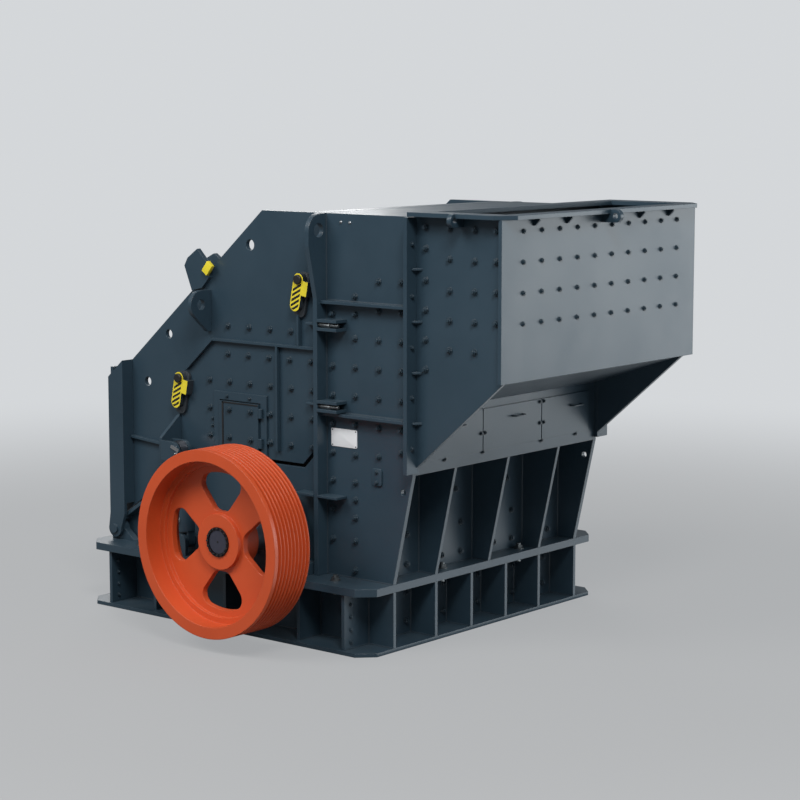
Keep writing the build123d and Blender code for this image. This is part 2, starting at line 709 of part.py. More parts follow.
# Drive pulley: grooved rim, web with rounded windows, hub; turned about the rotor axis
spin_plane = Plane(origin=(AXIS_X, pulley_face_y, axis_z), x_dir=(1, 0, 0), z_dir=(0, 0, 1))
groove_start = PULLEY_WIDTH - GROOVE_EDGE - (GROOVES - 1) * GROOVE_PITCH
groove_floor = PULLEY_RADIUS - GROOVE_DEPTH
rim_inner = groove_floor - RIM_WALL
rim_points = [(rim_inner, 0), (PULLEY_RADIUS, 0)]
for groove in range(GROOVES):
    middle = groove_start + groove * GROOVE_PITCH
    rim_points.append((PULLEY_RADIUS, middle - GROOVE_TOP_WIDTH / 2))
    rim_points.append((groove_floor, middle - GROOVE_FLOOR_WIDTH / 2))
    rim_points.append((groove_floor, middle + GROOVE_FLOOR_WIDTH / 2))
    rim_points.append((PULLEY_RADIUS, middle + GROOVE_TOP_WIDTH / 2))
web_rear = PULLEY_WEB_RECESS + PULLEY_WEB
rim_points += [
    (PULLEY_RADIUS, PULLEY_WIDTH),
    (groove_floor - RIM_REAR_WALL, PULLEY_WIDTH),
    (groove_floor - RIM_REAR_WALL, web_rear),
    (rim_inner - STEP_RING_WIDTH, web_rear),
    (rim_inner - STEP_RING_WIDTH, STEP_RING_RECESS),
    (rim_inner, STEP_RING_RECESS),
]
pulley_axis = Axis((AXIS_X, pulley_face_y, axis_z), (0, 1, 0))
web_plane = side_plane(-pulley_face_y - PULLEY_WEB_RECESS)
with BuildPart() as drive_pulley:
    with BuildSketch(spin_plane):
        with BuildLine():
            Polyline(*rim_points, close=True)
        make_face()
    revolve(axis=pulley_axis)
    with BuildSketch(web_plane):
        with Locations((AXIS_X, axis_z)):
            Circle(rim_inner)
    extrude(amount=-PULLEY_WEB)
    with BuildSketch(side_plane(-hub_face_y)):
        with Locations((AXIS_X, axis_z)):
            Circle(HUB_RADIUS)
    extrude(amount=-LOCK_WIDTH)
    with BuildSketch(side_plane(-hub_face_y)):
        with Locations((AXIS_X, axis_z)):
            Circle(LOCK_RADIUS)
    extrude(amount=-LOCK_WIDTH, mode=Mode.SUBTRACT)
    window_reach = WINDOW_OUTER_RADIUS * math.sin(math.radians(WINDOW_OUTER_HALF_ANGLE))
    window_sweep = WINDOW_OUTER_RADIUS * math.cos(math.radians(WINDOW_OUTER_HALF_ANGLE))
    with BuildSketch(web_plane) as windows:
        with Locations((AXIS_X, axis_z)):
            with PolarLocations(0, WINDOWS):
                with BuildLine(mode=Mode.PRIVATE) as window_edge:
                    ThreePointArc(
                        (window_sweep, -window_reach), (WINDOW_OUTER_RADIUS, 0), (window_sweep, window_reach)
                    )
                    Polyline(
                        (window_sweep, window_reach),
                        (WINDOW_INNER_RADIUS, WINDOW_INNER_HALF_WIDTH),
                        (WINDOW_INNER_RADIUS, -WINDOW_INNER_HALF_WIDTH),
                        (window_sweep, -window_reach),
                    )
                add(make_face(window_edge.edges(), mode=Mode.PRIVATE))
        fillet(windows.vertices(), radius=WINDOW_CORNER)
    extrude(amount=-PULLEY_WEB, mode=Mode.SUBTRACT)
keep(drive_pulley, "drive_pulley")

with BuildPart() as pulley_locking_ring:
    with BuildSketch(side_plane(-hub_face_y + LOCK_PROUD)):
        with Locations((AXIS_X, axis_z)):
            Circle(LOCK_RADIUS)
            Circle(SHAFT_END_RADIUS, mode=Mode.SUBTRACT)
    extrude(amount=-(LOCK_WIDTH + LOCK_PROUD))
keep(pulley_locking_ring, "pulley_locking_ring")

# Rear frame: cheeks with round holes, door opening in the near one
slope_foot_z = on_cheek(SLOPE_FOOT_SHARE)
slope_run = SLOPE_TOP_X - REAR_EDGE_X
slope_rise = FRAME_TOP - slope_foot_z
slope_length = math.hypot(slope_run, slope_rise)
slope_steepness = slope_rise / slope_run
cheek_rear_x = REAR_EDGE_X + REAR_FLANGE


def slope_z(x):
    """Height of the cheeks' sloped edge at a place along the machine."""
    return slope_foot_z + (x - REAR_EDGE_X) * slope_steepness


cheek_points = [
    (cheek_front_x, FRAME_TOP),
    (SLOPE_TOP_X, FRAME_TOP),
    (cheek_rear_x, slope_z(cheek_rear_x)),
    (cheek_rear_x, wall_edge_z(cheek_rear_x) + PARTING_DROP),
    (PARTING_KNEE_X, CHEEK_FOOT),
    (cheek_front_x - JOINT_CORNER, CHEEK_FOOT),
    (cheek_front_x, CHEEK_FOOT + JOINT_CORNER),
]
with BuildPart() as rear_cheek_far:
    extrude(outline(side_plane(-wall_outer), cheek_points), amount=WALL_THICKNESS)
    with BuildSketch(side_plane(-wall_outer)):
        for x, share, radius in CHEEK_HOLES:
            with Locations((x, on_cheek(share))):
                Circle(radius)
    extrude(amount=WALL_THICKNESS, mode=Mode.SUBTRACT)
keep(rear_cheek_far, "rear_cheek_far")

door_width = DOOR_RIGHT_X - DOOR_LEFT_X
door_height = DOOR_TOP - DOOR_FOOT
door_middle = ((DOOR_LEFT_X + DOOR_RIGHT_X) / 2, (DOOR_FOOT + DOOR_TOP) / 2)
with BuildPart() as rear_cheek_near:
    mirror(rear_cheek_far.part, about=Plane.XZ)
    with BuildSketch(side_plane(wall_inner)):
        with Locations(door_middle):
            Rectangle(door_width - 2 * DOOR_OPENING_MARGIN, door_height - 2 * DOOR_OPENING_MARGIN)
    extrude(amount=WALL_THICKNESS, mode=Mode.SUBTRACT)
keep(rear_cheek_near, "rear_cheek_near")

# Cover plates of the rear frame, set in from the edge of the cheeks
cover_edge_drop = COVER_SETBACK * slope_length / slope_run
cover_drop = COVER_THICKNESS * slope_length / slope_run
rear_plate_x = LOWER_WALL_REAR_X + COVER_THICKNESS


def cover_z(x):
    """Height of the sloped cover's outer face at a place along the machine."""
    return slope_foot_z - cover_edge_drop + (x - REAR_EDGE_X) * slope_steepness


cover_top_x = REAR_EDGE_X + (FRAME_TOP - slope_foot_z + cover_edge_drop) / slope_steepness
with BuildPart() as rear_top_plate:
    top_points = rectangle(cover_top_x, cheek_front_x, -wall_inner, wall_inner)
    extrude(outline(Plane.XY.offset(FRAME_TOP - cover_drop), top_points), amount=cover_drop)
keep(rear_top_plate, "rear_top_plate")

with BuildPart() as rear_slope_plate:
    slope_points = [
        (rear_plate_x, cover_z(rear_plate_x)),
        (rear_plate_x, cover_z(rear_plate_x) - cover_drop),
        (cover_top_x, FRAME_TOP - cover_drop),
        (cover_top_x, FRAME_TOP),
    ]
    extrude(outline(side_plane(-wall_inner), slope_points), amount=2 * wall_inner)
keep(rear_slope_plate, "rear_slope_plate")

with BuildPart() as rear_end_plate:
    end_points = rectangle(-wall_inner, wall_inner, rear_wall_top + PARTING_DROP, cover_z(rear_plate_x))
    extrude(outline(Plane.YZ.offset(LOWER_WALL_REAR_X), end_points), amount=COVER_THICKNESS)
keep(rear_end_plate, "rear_end_plate")

# Rear columns: a plate outside each cheek with a return to it, ending in the hinge eye with its pin
column_outer = wall_outer + COLUMN_REACH
column_front_x = REAR_EDGE_X + COLUMN_WIDTH
with BuildPart() as rear_columns:
    column_points = [
        (HINGE_X - HINGE_EYE_RADIUS, hinge_z),
        (HINGE_X + HINGE_EYE_RADIUS, hinge_z),
        (column_front_x, COLUMN_NECK),
        (column_front_x, slope_z(column_front_x)),
        (REAR_EDGE_X, slope_foot_z),
        (REAR_EDGE_X, COLUMN_NECK),
    ]
    with BuildSketch(side_plane(column_outer - COLUMN_PLATE)):
        with BuildLine():
            Polyline(*column_points, close=True)
        make_face()
        with Locations((HINGE_X, hinge_z)):
            Circle(HINGE_EYE_RADIUS)
    extrude(amount=COLUMN_PLATE)
    return_x = column_front_x - COLUMN_PLATE
    return_points = [
        (return_x, COLUMN_FOOT),
        (column_front_x, COLUMN_FOOT),
        (column_front_x, slope_z(column_front_x)),
        (return_x, slope_z(return_x)),
    ]
    extrude(outline(side_plane(wall_outer), return_points), amount=COLUMN_REACH - COLUMN_PLATE)
    with BuildSketch(side_plane(wall_outer + BRACKET_GAP)):
        with Locations((HINGE_X, hinge_z)):
            Circle(HINGE_PIN_RADIUS)
    extrude(amount=COLUMN_REACH - BRACKET_GAP + HINGE_PIN_PROUD)
    mirror(about=Plane.XZ)
keep(rear_columns, "rear_columns")

# Upright rear flanges across the end of the cheeks, inside the columns
with BuildPart() as rear_flanges:
    flange_outer = column_outer - COLUMN_PLATE
    rear_flange_points = rectangle(
        -flange_outer, -flange_outer + REAR_FLANGE_DEPTH, COLUMN_FOOT, slope_foot_z + REAR_FLANGE_RISE
    )
    extrude(outline(Plane.YZ.offset(REAR_EDGE_X), rear_flange_points), amount=REAR_FLANGE)
    mirror(about=Plane.XZ)
keep(rear_flanges, "rear_flanges")

# Places of the curtain pins on the cheeks
keeper_pins = [(x, on_cheek(share)) for x, share in KEEPER_PLACES]

# Stiffening ribs welded to the outside of the cheeks, one bent line and two uprights
half_rib = CHEEK_RIB / 2
upper_rib_z = on_cheek(UPPER_RIB_SHARE)
short_rib_top = upper_rib_z + half_rib + SHORT_RIB_LENGTH
diagonal_x = keeper_pins[-1][0] + DIAGONAL_RIB_STEP[0]
diagonal_z = keeper_pins[-1][1] + DIAGONAL_RIB_STEP[1]
clevis_rear_x = UPPER_PIN[0] - ROD_EYE_RADIUS - ROD_EYE_ROOM
gusset_x = clevis_rear_x - CLEVIS_GUSSET
diagonal_length = math.hypot(UPPER_RIB_START_X - diagonal_x, upper_rib_z - diagonal_z)
rib_cut_x = half_rib * (upper_rib_z - diagonal_z) / diagonal_length
rib_cut_z = half_rib * (UPPER_RIB_START_X - diagonal_x) / diagonal_length
with BuildPart() as cheek_ribs:
    bent_points = [
        (diagonal_x + rib_cut_x, diagonal_z - rib_cut_z),
        (UPPER_RIB_START_X + half_rib, upper_rib_z - half_rib),
        (cheek_front_x, upper_rib_z - half_rib),
        (cheek_front_x, upper_rib_z + half_rib),
        (UPPER_RIB_START_X - half_rib, upper_rib_z + half_rib),
        (diagonal_x - rib_cut_x, diagonal_z + rib_cut_z),
    ]
    extrude(outline(side_plane(wall_outer), bent_points), amount=CHEEK_RIB_REACH)
    long_points = rectangle(
        LONG_RIB_X - half_rib, LONG_RIB_X + half_rib, LONG_RIB_FOOT, upper_rib_z - half_rib
    )
    extrude(outline(side_plane(wall_outer), long_points), amount=CHEEK_RIB_REACH)
    short_points = rectangle(
        SHORT_RIB_X - half_rib, SHORT_RIB_X + half_rib, upper_rib_z + half_rib, short_rib_top
    )
    extrude(outline(side_plane(wall_outer), short_points), amount=CHEEK_RIB_REACH)
    hook_points = [
        (column_front_x, HOOK_RIB_Z - half_rib),
        (gusset_x, HOOK_RIB_Z - HOOK_RIB_FALL - half_rib),
        (gusset_x, HOOK_RIB_Z - HOOK_RIB_FALL + half_rib),
        (column_front_x, HOOK_RIB_Z + half_rib),
    ]
    extrude(outline(side_plane(wall_outer), hook_points), amount=CHEEK_RIB_REACH)
    mirror(about=Plane.XZ)
keep(cheek_ribs, "cheek_ribs")

# Lifting lugs on the cheeks, rounded about the eye and tapering to a long root on the wall
lug_eye_z = on_cheek(CHEEK_LUG_EYE_SHARE)
lug_eye_y = wall_outer + CHEEK_LUG_EYE_REACH
lug_root = CHEEK_LUG_DROP + CHEEK_LUG_RADIUS
with BuildPart() as cheek_lugs:
    with BuildSketch(Plane.YZ.offset(CHEEK_LUG_X - CHEEK_LUG_THICKNESS / 2)):
        with Locations((-lug_eye_y, lug_eye_z)):
            Circle(CHEEK_LUG_RADIUS)
        with Locations((-wall_outer - CHEEK_LUG_ROOT / 2, lug_eye_z + CHEEK_LUG_RADIUS - lug_root / 2)):
            Rectangle(CHEEK_LUG_ROOT, lug_root)
        make_hull()
        with Locations((-lug_eye_y, lug_eye_z)):
            Circle(CHEEK_LUG_HOLE_RADIUS, mode=Mode.SUBTRACT)
    extrude(amount=CHEEK_LUG_THICKNESS)
    mirror(about=Plane.XZ)
keep(cheek_lugs, "cheek_lugs")

# Curtain keepers: striped plates that hold the ends of the curtain pins, with a square tab
with BuildPart() as curtain_keepers:
    for pin_x, pin_z in keeper_pins:
        keeper_plane = Plane(
            origin=(pin_x, -wall_outer, pin_z),
            x_dir=Vector(1, 0, 0).rotate(Axis.Y, -KEEPER_TILT),
            z_dir=(0, -1, 0),
        )
        with BuildSketch(keeper_plane):
            with Locations((0, -(KEEPER_LENGTH - KEEPER_WIDTH) / 2)):
                SlotOverall(KEEPER_LENGTH, KEEPER_WIDTH, rotation=90)
            with Locations((TAB_WIDTH / 2 + KEEPER_WIDTH / 4, -TAB_HEIGHT / 2)):
                Rectangle(TAB_WIDTH, TAB_HEIGHT)
        extrude(amount=KEEPER_THICKNESS)
    mirror(about=Plane.XZ)
keep(curtain_keepers, "curtain_keepers")


# Curtains inside the rear frame, hung from pins under the keepers
curtain_half = wall_inner - CURTAIN_SIDE_CLEARANCE


def curtain(pin, toe_x, toe_z):
    """A thick apron from its pin down to its toe, right across the chamber."""
    run_x = toe_x - pin[0]
    run_z = toe_z - pin[1]
    reach = math.hypot(run_x, run_z)
    across_x = -run_z / reach * CURTAIN_THICKNESS / 2
    across_z = run_x / reach * CURTAIN_THICKNESS / 2
    points = [
        (pin[0] + across_x, pin[1] + across_z),
        (toe_x + across_x, toe_z + across_z),
        (toe_x - across_x, toe_z - across_z),
        (pin[0] - across_x, pin[1] - across_z),
    ]
    with BuildPart() as apron:
        extrude(outline(side_plane(-curtain_half), points), amount=2 * curtain_half)
        with BuildSketch(side_plane(-wall_inner)):
            with Locations(pin):
                Circle(PIN_RADIUS)
        extrude(amount=2 * wall_inner)
    return apron


upper_curtain = curtain(keeper_pins[0], UPPER_CURTAIN_TOE[0], on_cheek(UPPER_CURTAIN_TOE[1]))
keep(upper_curtain, "upper_curtain")

lower_curtain = curtain(keeper_pins[1], LOWER_CURTAIN_TOE[0], on_cheek(LOWER_CURTAIN_TOE[1]))
keep(lower_curtain, "lower_curtain")

# Curtain adjusters: a bracket outside each cheek that stands up past its sloped edge, a tab and an edge stop
adjuster_z = slope_z(ADJUSTER_X)
adjuster_outer = wall_outer + ADJUSTER_PLATE
tab_place = (ADJUSTER_X + ADJUSTER_TAB_STEP[0], adjuster_z + ADJUSTER_TAB_STEP[1])
with BuildPart() as curtain_adjusters:
    adjuster_points = []
    for step_x, step_z in ADJUSTER_SHAPE:
        adjuster_points.append((ADJUSTER_X + step_x, slope_z(ADJUSTER_X + step_x) + step_z))
    extrude(outline(side_plane(wall_outer), adjuster_points), amount=ADJUSTER_PLATE)
    with BuildSketch(side_plane(adjuster_outer)):
        with Locations(tab_place):
            Rectangle(*ADJUSTER_TAB, rotation=-ADJUSTER_TAB_TURN)
    extrude(amount=ADJUSTER_TAB_THICKNESS)
    stop_points = []
    for step_x, step_z in ADJUSTER_STOP:
        stop_points.append((ADJUSTER_X + step_x, slope_z(ADJUSTER_X + step_x) + step_z))
    extrude(outline(side_plane(wall_inner), stop_points), amount=WALL_THICKNESS)
    mirror(about=Plane.XZ)
keep(curtain_adjusters, "curtain_adjusters")

# Opening hinge: brackets on the top flange, inside the column eyes
bracket_y = column_outer - COLUMN_PLATE - BRACKET_GAP - BRACKET_THICKNESS
with BuildPart() as hinge_brackets:
    with BuildSketch(side_plane(bracket_y)):
        with Locations((HINGE_X, hinge_z)):
            Circle(HINGE_EYE_RADIUS)
        with BuildLine():
            Polyline(
                (HINGE_X - HINGE_EYE_RADIUS, hinge_z),
                (HINGE_X - HINGE_EYE_RADIUS, BASE_HEIGHT),
                (HINGE_X - HINGE_EYE_RADIUS + BRACKET_FOOT, BASE_HEIGHT),
                (HINGE_X + HINGE_EYE_RADIUS, hinge_z),
                close=True,
            )
        make_face()
        with Locations((HINGE_X, hinge_z)):
            Circle(HINGE_PIN_RADIUS + RUNNING_CLEARANCE, mode=Mode.SUBTRACT)
    extrude(amount=BRACKET_THICKNESS)
    mirror(about=Plane.XZ)
keep(hinge_brackets, "hinge_brackets")

# Opening cylinders: base clevis, barrel with its eye, rod with its eye, clevis on the rear frame
cylinder_run = (UPPER_PIN[0] - lower_pin[0], UPPER_PIN[1] - lower_pin[1])
cylinder_length = math.hypot(*cylinder_run)
cylinder_line = (cylinder_run[0] / cylinder_length, 0, cylinder_run[1] / cylinder_length)
barrel_length = cylinder_length - BARREL_START - ROD_EYE_RADIUS - BARREL_END_GAP
eye_start = -cylinder_y - EYE_WIDTH / 2
clevis_start = eye_start - CLEVIS_GAP - CLEVIS_PLATE


def along(distance):
    """The plane across the cylinder at a distance from its lower pin."""
    origin = (
        lower_pin[0] + cylinder_line[0] * distance,
        cylinder_y,
        lower_pin[1] + cylinder_line[2] * distance,
    )
    return Plane(origin=origin, x_dir=(0, 1, 0), z_dir=cylinder_line)


with BuildPart() as cylinder_brackets:
    for start in (clevis_start, eye_start + EYE_WIDTH + CLEVIS_GAP):
        with BuildSketch(side_plane(start)):
            with Locations(lower_pin):
                Circle(CYLINDER_EYE_RADIUS)
            with Locations((lower_pin[0], (lower_pin[1] + BASE_HEIGHT) / 2)):
                Rectangle(2 * CYLINDER_EYE_RADIUS, lower_pin[1] - BASE_HEIGHT)
        extrude(amount=CLEVIS_PLATE)
    with BuildSketch(side_plane(clevis_start)):
        with Locations(lower_pin):
            Circle(CYLINDER_PIN_RADIUS)
    extrude(amount=EYE_WIDTH + 2 * CLEVIS_GAP + 2 * CLEVIS_PLATE)
    mirror(about=Plane.XZ)
keep(cylinder_brackets, "cylinder_brackets")

with BuildPart() as cylinder_barrel_near:
    with BuildSketch(side_plane(eye_start)):
        with Locations(lower_pin):
            Circle(CYLINDER_EYE_RADIUS)
    extrude(amount=EYE_WIDTH)
    with BuildSketch(along(0)):
        Rectangle(EYE_WIDTH, 2 * CYLINDER_EYE_RADIUS)
    extrude(amount=BARREL_START)
    with BuildSketch(along(BARREL_START)):
        Circle(BARREL_RADIUS)
    extrude(amount=barrel_length)
    with BuildSketch(side_plane(eye_start)):
        with Locations(lower_pin):
            Circle(CYLINDER_PIN_RADIUS + RUNNING_CLEARANCE)
    extrude(amount=EYE_WIDTH, mode=Mode.SUBTRACT)
    with BuildSketch(along(ROD_START - CUT)):
        Circle(ROD_RADIUS + ROD_CLEARANCE)
    extrude(amount=barrel_length, mode=Mode.SUBTRACT)
keep(cylinder_barrel_near, "cylinder_barrel_near")

with BuildPart() as cylinder_barrel_far:
    mirror(cylinder_barrel_near.part, about=Plane.XZ)
keep(cylinder_barrel_far, "cylinder_barrel_far")

with BuildPart() as cylinder_rod_near:
    with BuildSketch(along(ROD_START)):
        Circle(ROD_RADIUS)
    extrude(amount=cylinder_length - ROD_START)
    with BuildSketch(side_plane(eye_start)):
        with Locations(UPPER_PIN):
            Circle(ROD_EYE_RADIUS)
    extrude(amount=EYE_WIDTH)
    with BuildSketch(side_plane(eye_start - EYE_WIDTH)):
        with Locations(UPPER_PIN):
            Circle(CYLINDER_PIN_RADIUS + LOOSE_PIN_CLEARANCE)
    extrude(amount=3 * EYE_WIDTH, mode=Mode.SUBTRACT)
keep(cylinder_rod_near, "cylinder_rod_near")

with BuildPart() as cylinder_rod_far:
    mirror(cylinder_rod_near.part, about=Plane.XZ)
keep(cylinder_rod_far, "cylinder_rod_far")

with BuildPart() as cylinder_clevises:
    for start in (clevis_start, eye_start + EYE_WIDTH + CLEVIS_GAP):
        with BuildSketch(side_plane(start)):
            with Locations(UPPER_PIN):
                Circle(ROD_EYE_RADIUS)
            with Locations(((UPPER_PIN[0] + clevis_rear_x) / 2, UPPER_PIN[1])):
                Rectangle(UPPER_PIN[0] - clevis_rear_x, 2 * ROD_EYE_RADIUS)
        extrude(amount=CLEVIS_PLATE)
    with BuildSketch(side_plane(clevis_start)):
        with Locations(UPPER_PIN):
            Circle(CYLINDER_PIN_RADIUS)
    extrude(amount=EYE_WIDTH + 2 * CLEVIS_GAP + 2 * CLEVIS_PLATE)
    gusset_nose = -wall_outer - CLEVIS_GUSSET_REACH
    gusset_foot = UPPER_PIN[1] - ROD_EYE_RADIUS
    gusset_top = keeper_pins[-1][1] - KEEPER_LENGTH - CLEVIS_GUSSET_GAP + KEEPER_WIDTH / 2
    gusset_middle = (gusset_foot + gusset_top) / 2
    with BuildSketch(Plane.YZ.offset(gusset_x)):
        with BuildLine():
            Polyline(
                (-wall_outer, gusset_top),
                (gusset_nose, gusset_middle),
                (gusset_nose, gusset_foot),
                (-wall_outer, gusset_foot),
                close=True,
            )
        make_face()
    extrude(amount=CLEVIS_GUSSET)
    mirror(about=Plane.XZ)
keep(cylinder_clevises, "cylinder_clevises")

# Inspection door in the near cheek, its frame and its hinge knuckles
door_plane = side_plane(wall_outer)
with BuildPart() as door_frame:
    with BuildSketch(door_plane):
        with Locations(door_middle):
            Rectangle(door_width + 2 * DOOR_FRAME_MARGIN, door_height + 2 * DOOR_FRAME_MARGIN)
            Rectangle(door_width + 2 * DOOR_GAP, door_height + 2 * DOOR_GAP, mode=Mode.SUBTRACT)
    extrude(amount=DOOR_FRAME)
keep(door_frame, "door_frame")

knuckle_x = DOOR_RIGHT_X + DOOR_GAP + KNUCKLE_RADIUS
knuckle_y = wall_outer + DOOR_FRAME + KNUCKLE_RADIUS + RUNNING_CLEARANCE
with BuildPart() as inspection_door:
    with BuildSketch(side_plane(wall_outer + RUNNING_CLEARANCE)):
        with Locations(door_middle):
            Rectangle(door_width, door_height)
    extrude(amount=DOOR_FRAME + DOOR_THICKNESS)
    for share in KNUCKLE_SHARES:
        knuckle_z = DOOR_FOOT + share * door_height
        with BuildSketch(Plane.XY.offset(knuckle_z - KNUCKLE_LENGTH / 2)):
            with Locations((knuckle_x, -knuckle_y)):
                Circle(KNUCKLE_RADIUS)
            with Locations(((knuckle_x + DOOR_RIGHT_X) / 2, -knuckle_y)):
                Rectangle(knuckle_x - DOOR_RIGHT_X, KNUCKLE_RADIUS)
        extrude(amount=KNUCKLE_LENGTH)
keep(inspection_door, "inspection_door")
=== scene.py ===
import json
import math

import bmesh
import bpy
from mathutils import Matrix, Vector

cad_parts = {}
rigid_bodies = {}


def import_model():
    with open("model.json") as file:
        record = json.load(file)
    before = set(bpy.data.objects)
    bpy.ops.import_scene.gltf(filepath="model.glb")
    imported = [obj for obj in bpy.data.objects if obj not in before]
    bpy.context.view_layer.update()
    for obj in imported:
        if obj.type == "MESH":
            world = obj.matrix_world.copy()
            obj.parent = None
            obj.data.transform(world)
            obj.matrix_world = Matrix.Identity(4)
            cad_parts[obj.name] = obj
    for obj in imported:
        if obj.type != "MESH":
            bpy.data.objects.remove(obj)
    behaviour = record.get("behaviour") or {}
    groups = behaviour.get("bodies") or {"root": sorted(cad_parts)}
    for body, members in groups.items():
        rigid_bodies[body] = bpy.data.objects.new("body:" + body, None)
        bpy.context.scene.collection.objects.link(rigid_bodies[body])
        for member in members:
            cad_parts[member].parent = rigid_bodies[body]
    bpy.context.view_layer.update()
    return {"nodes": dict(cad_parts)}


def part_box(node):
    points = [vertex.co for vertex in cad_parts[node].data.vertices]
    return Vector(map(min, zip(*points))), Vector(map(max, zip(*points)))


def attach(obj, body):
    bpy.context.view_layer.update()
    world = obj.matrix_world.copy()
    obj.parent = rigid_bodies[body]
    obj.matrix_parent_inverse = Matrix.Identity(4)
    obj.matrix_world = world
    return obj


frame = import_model()
nodes = frame["nodes"]
scene = bpy.context.scene
scene.view_settings.view_transform = "Standard"

# View: the camera stands in front of the pulley side and a little above the feed box, a long way off,
# so that the upright plates stay nearly parallel.
VIEW_PLACE = (8.150, -9.3046, 2.807)
VIEW_HEADING = 129.7518
VIEW_FALL = 7.7441
VIEW_LENS = 100.43
VIEW_SENSOR = 36.0
VIEW_REACH = 200.0
RIGHT_ANGLE = 90.0
camera_data = bpy.data.cameras.new("view_camera")
camera_data.sensor_width = VIEW_SENSOR
camera_data.lens = VIEW_LENS
camera_data.clip_end = VIEW_REACH
camera = bpy.data.objects.new("view_camera", camera_data)
camera.location = VIEW_PLACE
camera.rotation_euler = (
    math.radians(RIGHT_ANGLE - VIEW_FALL),
    0.0,
    math.radians(VIEW_HEADING - RIGHT_ANGLE),
)
scene.collection.objects.link(camera)
scene.camera = camera

# Floor: a plain pale studio floor that fades into the backdrop a few metres from the machine, so that no
# horizon shows behind it.
BACKDROP = (0.66, 0.68, 0.70, 1.0)
FLOOR_GREY = (0.20, 0.20, 0.20, 1.0)
FLOOR_ROUGHNESS = 0.95
FLOOR_REACH = 60.0
FLOOR_FADE_START = 3.0
FLOOR_FADE_END = 9.0
FLOOR_FADE_LEAST = 0.52
NODE_STEP = 220.0


def set_values(node, **values):
    """Set a node's plain settings and inputs by name, with _ for a space."""
    for name, value in values.items():
        if hasattr(node, name):
            setattr(node, name, value)
        else:
            node.inputs[name.replace("_", " ")].default_value = value


def new_node(tree, kind, **values):
    """A node of one kind, set beside those made before it."""
    node = tree.nodes.new(kind)
    node.location = (NODE_STEP * len(tree.nodes), 0.0)
    set_values(node, **values)
    return node


def wiring(tree):
    """The function that joins an output of one node to an input of another in a tree."""

    def join(source, output, target, entry):
        tree.links.new(source.outputs[output], target.inputs[entry])

    return join


def new_finish(name):
    """A material with its node tree and its plain shader."""
    finish = bpy.data.materials.new(name)
    finish.use_nodes = True
    return finish, finish.node_tree, finish.node_tree.nodes["Principled BSDF"]


floor_mesh = bpy.data.meshes.new("studio_floor")
floor_corners = [(FLOOR_REACH * x, FLOOR_REACH * y, 0.0) for x, y in ((-1, -1), (1, -1), (1, 1), (-1, 1))]
floor_mesh.from_pydata(floor_corners, [], [(0, 1, 2, 3)])
floor = bpy.data.objects.new("studio_floor", floor_mesh)
scene.collection.objects.link(floor)
floor_paint, floor_tree, floor_shader = new_finish("floor_paint")
set_values(floor_shader, Base_Color=FLOOR_GREY, Roughness=FLOOR_ROUGHNESS)
floor_place = new_node(floor_tree, "ShaderNodeTexCoord")
floor_far = new_node(floor_tree, "ShaderNodeVectorMath", operation="LENGTH")
floor_fade = new_node(
    floor_tree,
    "ShaderNodeMapRange",
    interpolation_type="SMOOTHSTEP",
    From_Min=FLOOR_FADE_START,
    From_Max=FLOOR_FADE_END,
    To_Min=FLOOR_FADE_LEAST,
)
floor_path = new_node(floor_tree, "ShaderNodeLightPath")
floor_seen = new_node(floor_tree, "ShaderNodeMath", operation="MULTIPLY")
floor_glow = new_node(floor_tree, "ShaderNodeEmission", Color=BACKDROP)
floor_mix = new_node(floor_tree, "ShaderNodeMixShader")
join_floor = wiring(floor_tree)
join_floor(floor_place, "Object", floor_far, 0)
join_floor(floor_far, "Value", floor_fade, "Value")
join_floor(floor_fade, "Result", floor_seen, 0)
join_floor(floor_path, "Is Camera Ray", floor_seen, 1)
join_floor(floor_seen, "Value", floor_mix, "Fac")
join_floor(floor_shader, "BSDF", floor_mix, 1)
join_floor(floor_glow, "Emission", floor_mix, 2)
join_floor(floor_mix, "Shader", floor_tree.nodes["Material Output"], "Surface")
floor_mesh.materials.append(floor_paint)

# Light: a low wide panel that the feed end mirrors, a high one over the pulley side, one in front, a weaker
# one behind and a faint even surround. A flat card on the floor is only mirrored, by the lower plate edges.
# Each panel has its place, the point it looks at, its size, its power in watts and its colour.
WARM_WHITE = (1.0, 0.98, 0.96)
STUDIO_PANELS = {
    "feed_end_panel": ((6.1, 5.3, 1.75), (1.4, 0.0, 1.35), (8.0, 3.4), 300.0, (0.91, 0.97, 1.0)),
    "pulley_side_panel": ((-2.5, -8.0, 8.5), (0.0, -0.8, 1.0), (6.0, 5.0), 740.0, WARM_WHITE),
    "front_panel": ((5.8, -5.6, 8.4), (0.5, -0.9, 0.8), (3.0, 3.0), 660.0, WARM_WHITE),
    "floor_card": ((2.1, 1.4, 0.004), (2.1, 1.4, 1.0), (2.1, 4.6), 40.0, (0.94, 0.98, 1.0)),
    "rear_panel": ((-7.0, 5.0, 5.0), (-0.5, 0.0, 1.0), (5.0, 4.0), 260.0, (1.0, 1.0, 1.0)),
}
for panel_name, (place, target, (width, height), watts, colour) in STUDIO_PANELS.items():
    light = bpy.data.lights.new(panel_name, "AREA")
    light.shape = "RECTANGLE"
    light.size = width
    light.size_y = height
    light.energy = watts
    light.color = colour
    panel = bpy.data.objects.new(panel_name, light)
    panel.location = place
    aim = Vector(target) - Vector(place)
    panel.rotation_euler = aim.to_track_quat("-Z", "Y").to_euler()
    panel.visible_camera = False
    panel.visible_diffuse = panel_name != "floor_card"
    scene.collection.objects.link(panel)

